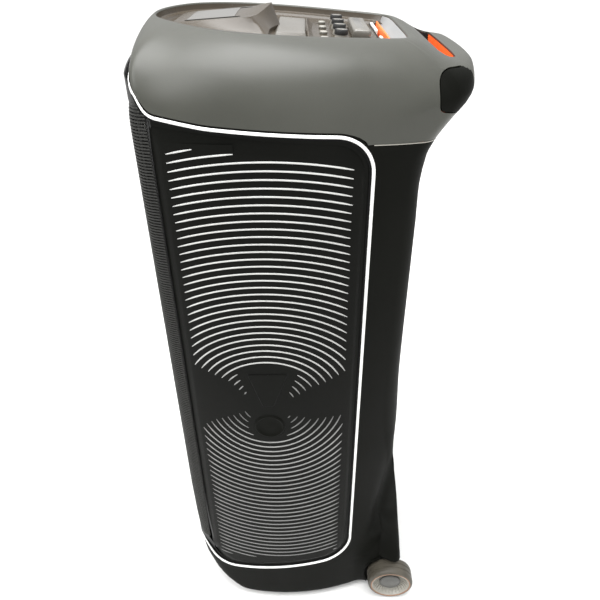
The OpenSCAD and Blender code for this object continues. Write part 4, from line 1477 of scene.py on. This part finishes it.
# radius and height: pale skirt, fluted cap with the depth of its flutes, small key
SKIRT_PROF = [(4.0, -24.0), (4.0, -13.4), (7.6, -13.4), (7.8, -12.6), (7.2, -5.0), (7.0, -4.4), (0.01, -4.4)]
CAP_RINGS = [(7.0, -6.6, 0.0), (8.0, -6.4, 0.2), (8.3, -5.6, 0.25), (8.2, -0.8, 0.2), (7.7, -0.1, 0.0),
             (6.6, 0.0, 0.0), (6.2, -0.5, 0.0)]
KEY_PROF = [(5.0, -24.0), (5.0, -12.6), (5.2, -12.4), (5.2, -11.2), (4.8, -10.4), (3.8, -10.0), (2.0, -9.8),
            (0.01, -9.8)]
N_CAP, N_FLUTES = 120, 24


def cap_mesh(x):
    """fluted cap of a dial"""
    v = []
    for r, z, w in CAP_RINGS:
        for i in range(N_CAP):
            a = 2 * math.pi * i / N_CAP
            rr = r + w * math.cos(N_FLUTES * a)
            v.append((x + rr * math.cos(a), KNOB_Y + rr * math.sin(a), z))
    f = grid_faces(N_CAP, len(CAP_RINGS), True)
    f += [tuple(len(v) - N_CAP + i for i in range(N_CAP)), tuple(range(N_CAP))[::-1]]
    return v, f


for k, x in enumerate(KNOB_X):
    dial, tail = "dial_%d" % (k + 1), "_%d" % (k + 1)
    piece("dial_skirt" + tail, revolve(SKIRT_PROF, 64, "z", (x, KNOB_Y, 0)), "keys", dial, "black", "knob" + tail,
          sharp=40, deck=True)
    piece("dial_cap" + tail, cap_mesh(x), "black", dial, "black", sharp=40, deck=True)
    deck_block("dial_mark" + tail, (x - 1.6, KNOB_Y - 5.8, -1.2), (x + 1.6, KNOB_Y + 6.2, -0.1), 0.3, "keys", dial,
               "black")
    piece("key_cap" + tail, revolve(KEY_PROF, 48, "z", (x, KEY_Y, 0)), "keys", "button" + tail, "keys", "key" + tail,
          sharp=50, deck=True)

deck_block("control_bar", (-56, 119, -14), (56, 142, -0.8), 3.6, "rim", "cabinet", "deck", "control_block")
deck_block("control_window", (-48, 124, -2.6), (48, 134, -0.6), 0.5, "glass", "cabinet", "display")
for k, (x0, x1) in enumerate(((24, 94), (-94, -24))):
    deck_block("cradle_rest_%d" % (k + 1), (x0, 156.6, -26.9), (x1, 160.4, -10.9), 1.0, "pale", "cabinet", "pale",
               "cradle_pad")
deck_block("cradle_line", (-95, 165.2, -26.9), (95, 167.4, -9.0), 0.8, "orange", "cabinet", "orange",
           "cradle_strip")
# pale ramp behind the recess, up to the rim
v = []
NX, NY = 44, 8
for j in range(NY + 1):
    for i in range(NX + 1):
        a, g = -1 + 2 * i / NX, j / NY
        x = a * (103 - 2 * g)
        y = 170.6 + (12.4 - 9.6 * (max(0.0, abs(x) - 68) / 34.0) ** 2.4) * g
        v.append((x, y, -12.8 + 10.4 * g ** 1.25))
piece("recess_ramp", (v, grid_faces(NX + 1, NY + 1)), "ramp", "cabinet", "pale", away=(0, 170, -400), thick=0.9,
      sharp=40, deck=True)
# lining of the rear recess: floor and walls
nr = len(recess)
v = []
for z, g in ((-12.5, 0.0), (-26.5, 0.0), (-27.2, 1.2)):
    for x, y in recess:
        v.append((x * (1 - g / 100), 163 + (y - 163) * (1 - g / 14), z))
f = grid_faces(nr, 3, True)
f.append(tuple(2 * nr + i for i in range(nr)))
piece("recess_lining", (v, f), "black", "cabinet", "black", thick=0.8, deck=True)

# ---------------------------------------------------------------- grip slot liner
LINER_Z, LINER_WALL, LINER_STEP = 935, 2.0, 4.0
outlines = [round_poly(SLOT_Q, 8, off) for off in (0.0, LINER_WALL)]
counts = [len(resample(q, LINER_STEP, True)) for q in outlines]
n = min(counts)
inner, outer = (resample(q, LINER_STEP * c / n, True)[:n] for q, c in zip(outlines, counts))


def hood_top(x, y):
    """height of the hood skin at x, y"""
    hit = HOOD_TREE.ray_cast(Vector((x, y, 1200)) * MM, Vector((0, 0, -1)))[0]
    return hit.z / MM


def liner_foot(x, y):
    """lower end of the slot liner at x, y, above the underside of the overhang"""
    top = hood_top(x, y)
    hit = HOOD_TREE.ray_cast(Vector((x, y, top - 6)) * MM, Vector((0, 0, -1)))[0]
    return min(max(LINER_Z, hit.z / MM + 6) if hit else LINER_Z, top - 4)


# orange along the middle, black toward the two ends as painted shade where the slot's end walls lie in shadow
for name, part in (("grip_lining", True), ("grip_ends_painted_shade", False)):
    v, f = [], []
    for foot, loop in ((True, inner), (False, inner), (False, outer), (True, outer)):
        for x, y in loop:
            v.append((x, y, liner_foot(x, y) if foot else hood_top(x, y) - 1.9))
    quads = grid_faces(n, 4, True) + [(3 * n + i, i, (i + 1) % n, 3 * n + (i + 1) % n) for i in range(n)]
    f = [q for q in quads if (abs(sum(v[k][0] for k in q)) / 4 < 84) == part]
    liner = new_object(name, v, f, M["orange" if part else "black"])
    bm = bmesh.new()
    bm.from_mesh(liner.data)
    bmesh.ops.delete(bm, geom=[x for x in bm.verts if not x.link_faces], context="VERTS")
    bmesh.ops.holes_fill(bm, edges=[e for e in bm.edges if e.is_boundary], sides=8)
    bm.to_mesh(liner.data)
    bm.free()
    clean(liner)
    auto_smooth(liner, 40)
    ride(liner, "cabinet", *(("orange", "grip_liner") if part else ("black",)))

# ---------------------------------------------------------------- wheels
# inner face of the wheel; the profiles are radius and distance outward from it
WHEEL_X = 182.0
TREAD = [(36.2, 1.0), (39.5, 0.8), (41.6, 2.0), (42.7, 4.5), (43.0, 8.0), (43.0, 11.0), (42.1, 11.4), (42.1, 12.6),
         (43.0, 13.0), (43.0, 20.0), (42.1, 20.4), (42.1, 21.6), (43.0, 22.0), (42.9, 27.0), (42.0, 30.2),
         (40.2, 32.2), (38.2, 32.9), (36.4, 32.6), (36.2, 31.4), (36.2, 1.0)]
HUB = [(36.2, 1.0), (36.1, 31.8), (35.4, 32.3), (34.2, 32.0), (33.4, 30.6), (31.0, 25.5), (27.0, 22.4), (22.0, 21.2),
       (15.0, 21.4), (14.0, 23.6), (5.1, 24.0), (5.1, 0.5), (14.0, 0.5), (14.0, 8.0), (30.0, 8.0), (30.0, 1.0),
       (36.2, 1.0)]
RIM_LINE = [(35.9, 31.0), (35.9, 32.6), (36.4, 33.1), (37.2, 33.2), (37.9, 32.9), (37.9, 31.0), (35.9, 31.0)]
HUB_CAP = [(0.01, 24.2), (20.0, 24.2), (20.0, 26.4), (19.2, 27.2), (17.0, 27.8), (16.2, 27.2), (9.0, 28.0),
           (7.6, 28.5), (0.01, 28.5)]
# radius, height of the crest, half width, height of the foot
RIB = [(20.5, 23.6, 0.7, 20.5), (24.0, 23.8, 0.75, 20.5), (28.0, 25.4, 0.8, 22.0), (33.2, 30.9, 0.9, 29.6)]
N_RIBS = 30


def turned(prof, s, n=120):
    """lathe about the axle, on the right (1) or left (-1)"""
    v, f = revolve(prof, n, "x", (WHEEL_X, AXLE_Y, AXLE_Z))
    return [(p[0] * s, p[1], p[2]) for p in v], f


def hub_ribs(s):
    """radial ribs on the dish of the hub"""
    v, f = [], []
    for k in range(N_RIBS):
        a = 2 * math.pi * (k + 0.5) / N_RIBS
        ca, sa = math.cos(a), math.sin(a)
        b = len(v)
        for r, h, w, low in RIB:
            for q, out in ((-w, low), (-w * 0.7, h), (w * 0.7, h), (w, low)):
                v.append(((WHEEL_X + out) * s, AXLE_Y + (r * ca - q * sa), AXLE_Z + (r * sa + q * ca)))
        for i in range(3):
            for q in range(4):
                c, d = b + i * 4, (q + 1) % 4
                f.append((c + q, c + d, c + 4 + d, c + 4 + q))
        f += [(b, b + 1, b + 2, b + 3), (b + 15, b + 14, b + 13, b + 12)]
    return v, f


for s, side in ((1, "right"), (-1, "left")):
    wheel = "wheel_" + side
    piece("tyre_visual_" + side, turned(TREAD, s, 144), "tyre", wheel, "tyre", "tyre_" + side, sharp=45)
    piece("hub_visual_" + side, turned(HUB, s), "hub", wheel, "hub", "hub_" + side, sharp=45)
    piece("rim_line_" + side, turned(RIM_LINE, s), "bronze", wheel, "hub", sharp=60)
    piece("hub_ribs_" + side, hub_ribs(s), "hub", wheel, "hub", sharp=30)
    piece("cap_visual_" + side, turned(HUB_CAP, s), "hub_dark", wheel, "hub", "hub_cap_" + side, sharp=35)

# ---------------------------------------------------------------- stage, lights, camera
floor_mat = plastic("studio_floor", (0.80, 0.80, 0.79), (0.84, 0.84, 0.83), (0.6, 0.7), 60, 0.02, spec=0.2)
FLOOR_HALF = 30
me = bpy.data.meshes.new("studio_floor")
me.from_pydata([(a * FLOOR_HALF, b * FLOOR_HALF, 0) for a, b in ((-1, -1), (1, -1), (1, 1), (-1, 1))], [],
               [(0, 1, 2, 3)])
floor = bpy.data.objects.new("studio_floor", me)
bpy.context.scene.collection.objects.link(floor)
me.materials.append(floor_mat)


def area_light(name, loc, target, size, power):
    """soft square lamp at loc that looks at target, metres and watts"""
    li = bpy.data.lights.new(name, "AREA")
    li.energy = power
    li.shape = "RECTANGLE"
    li.size = size
    li.size_y = size
    ob = bpy.data.objects.new(name, li)
    bpy.context.scene.collection.objects.link(ob)
    ob.location = loc
    d = Vector(target) - Vector(loc)
    ob.rotation_euler = d.to_track_quat("-Z", "Y").to_euler()


area_light("key", (1.2, -1.8, 2.6), (0, 0, 0.7), 1.6, 40)
area_light("fill", (2.2, 1.2, 1.6), (0, 0, 0.5), 2.0, 8)
area_light("top", (0.1, -0.1, 2.6), (0, 0, 0.9), 1.6, 60)

world = bpy.data.worlds.new("studio_world")
bpy.context.scene.world = world
world.use_nodes = True
bg = world.node_tree.nodes["Background"]
bg.inputs["Color"].default_value = (1, 1, 1, 1)
wt = world.node_tree
coord, split, climb = (wt.nodes.new("ShaderNode" + k) for k in ("TexCoord", "SeparateXYZ", "MapRange"))
# brighter toward the top, so that upright faces read darker than the deck
for key, value in (("From Min", 0.0), ("From Max", 1.0), ("To Min", 0.55), ("To Max", 1.9)):
    climb.inputs[key].default_value = value
wt.links.new(coord.outputs["Generated"], split.inputs["Vector"])
wt.links.new(split.outputs["Z"], climb.inputs["Value"])
wt.links.new(climb.outputs["Result"], bg.inputs["Strength"])

CAMERA_AT = (0.8201, 0.0084, 1.1420)
cam_data = bpy.data.cameras.new("camera")
cam_data.lens = 33.304
cam_data.sensor_width = 36.0
cam_data.shift_x = 0.0565
cam_data.shift_y = -0.0417
cam_data.clip_start = 0.01
cam = bpy.data.objects.new("camera", cam_data)
bpy.context.scene.collection.objects.link(cam)
right = Vector((-0.05659, 0.99755, -0.04115))
down = Vector((0.53285, -0.00468, -0.84619))
fwd = Vector((-0.84431, -0.06981, -0.53128))
rot = Matrix((right, -down, -fwd)).transposed()
cam.matrix_world = Matrix.Translation(CAMERA_AT) @ rot.to_4x4()
bpy.context.scene.camera = cam
bpy.context.scene.view_settings.view_transform = "Standard"
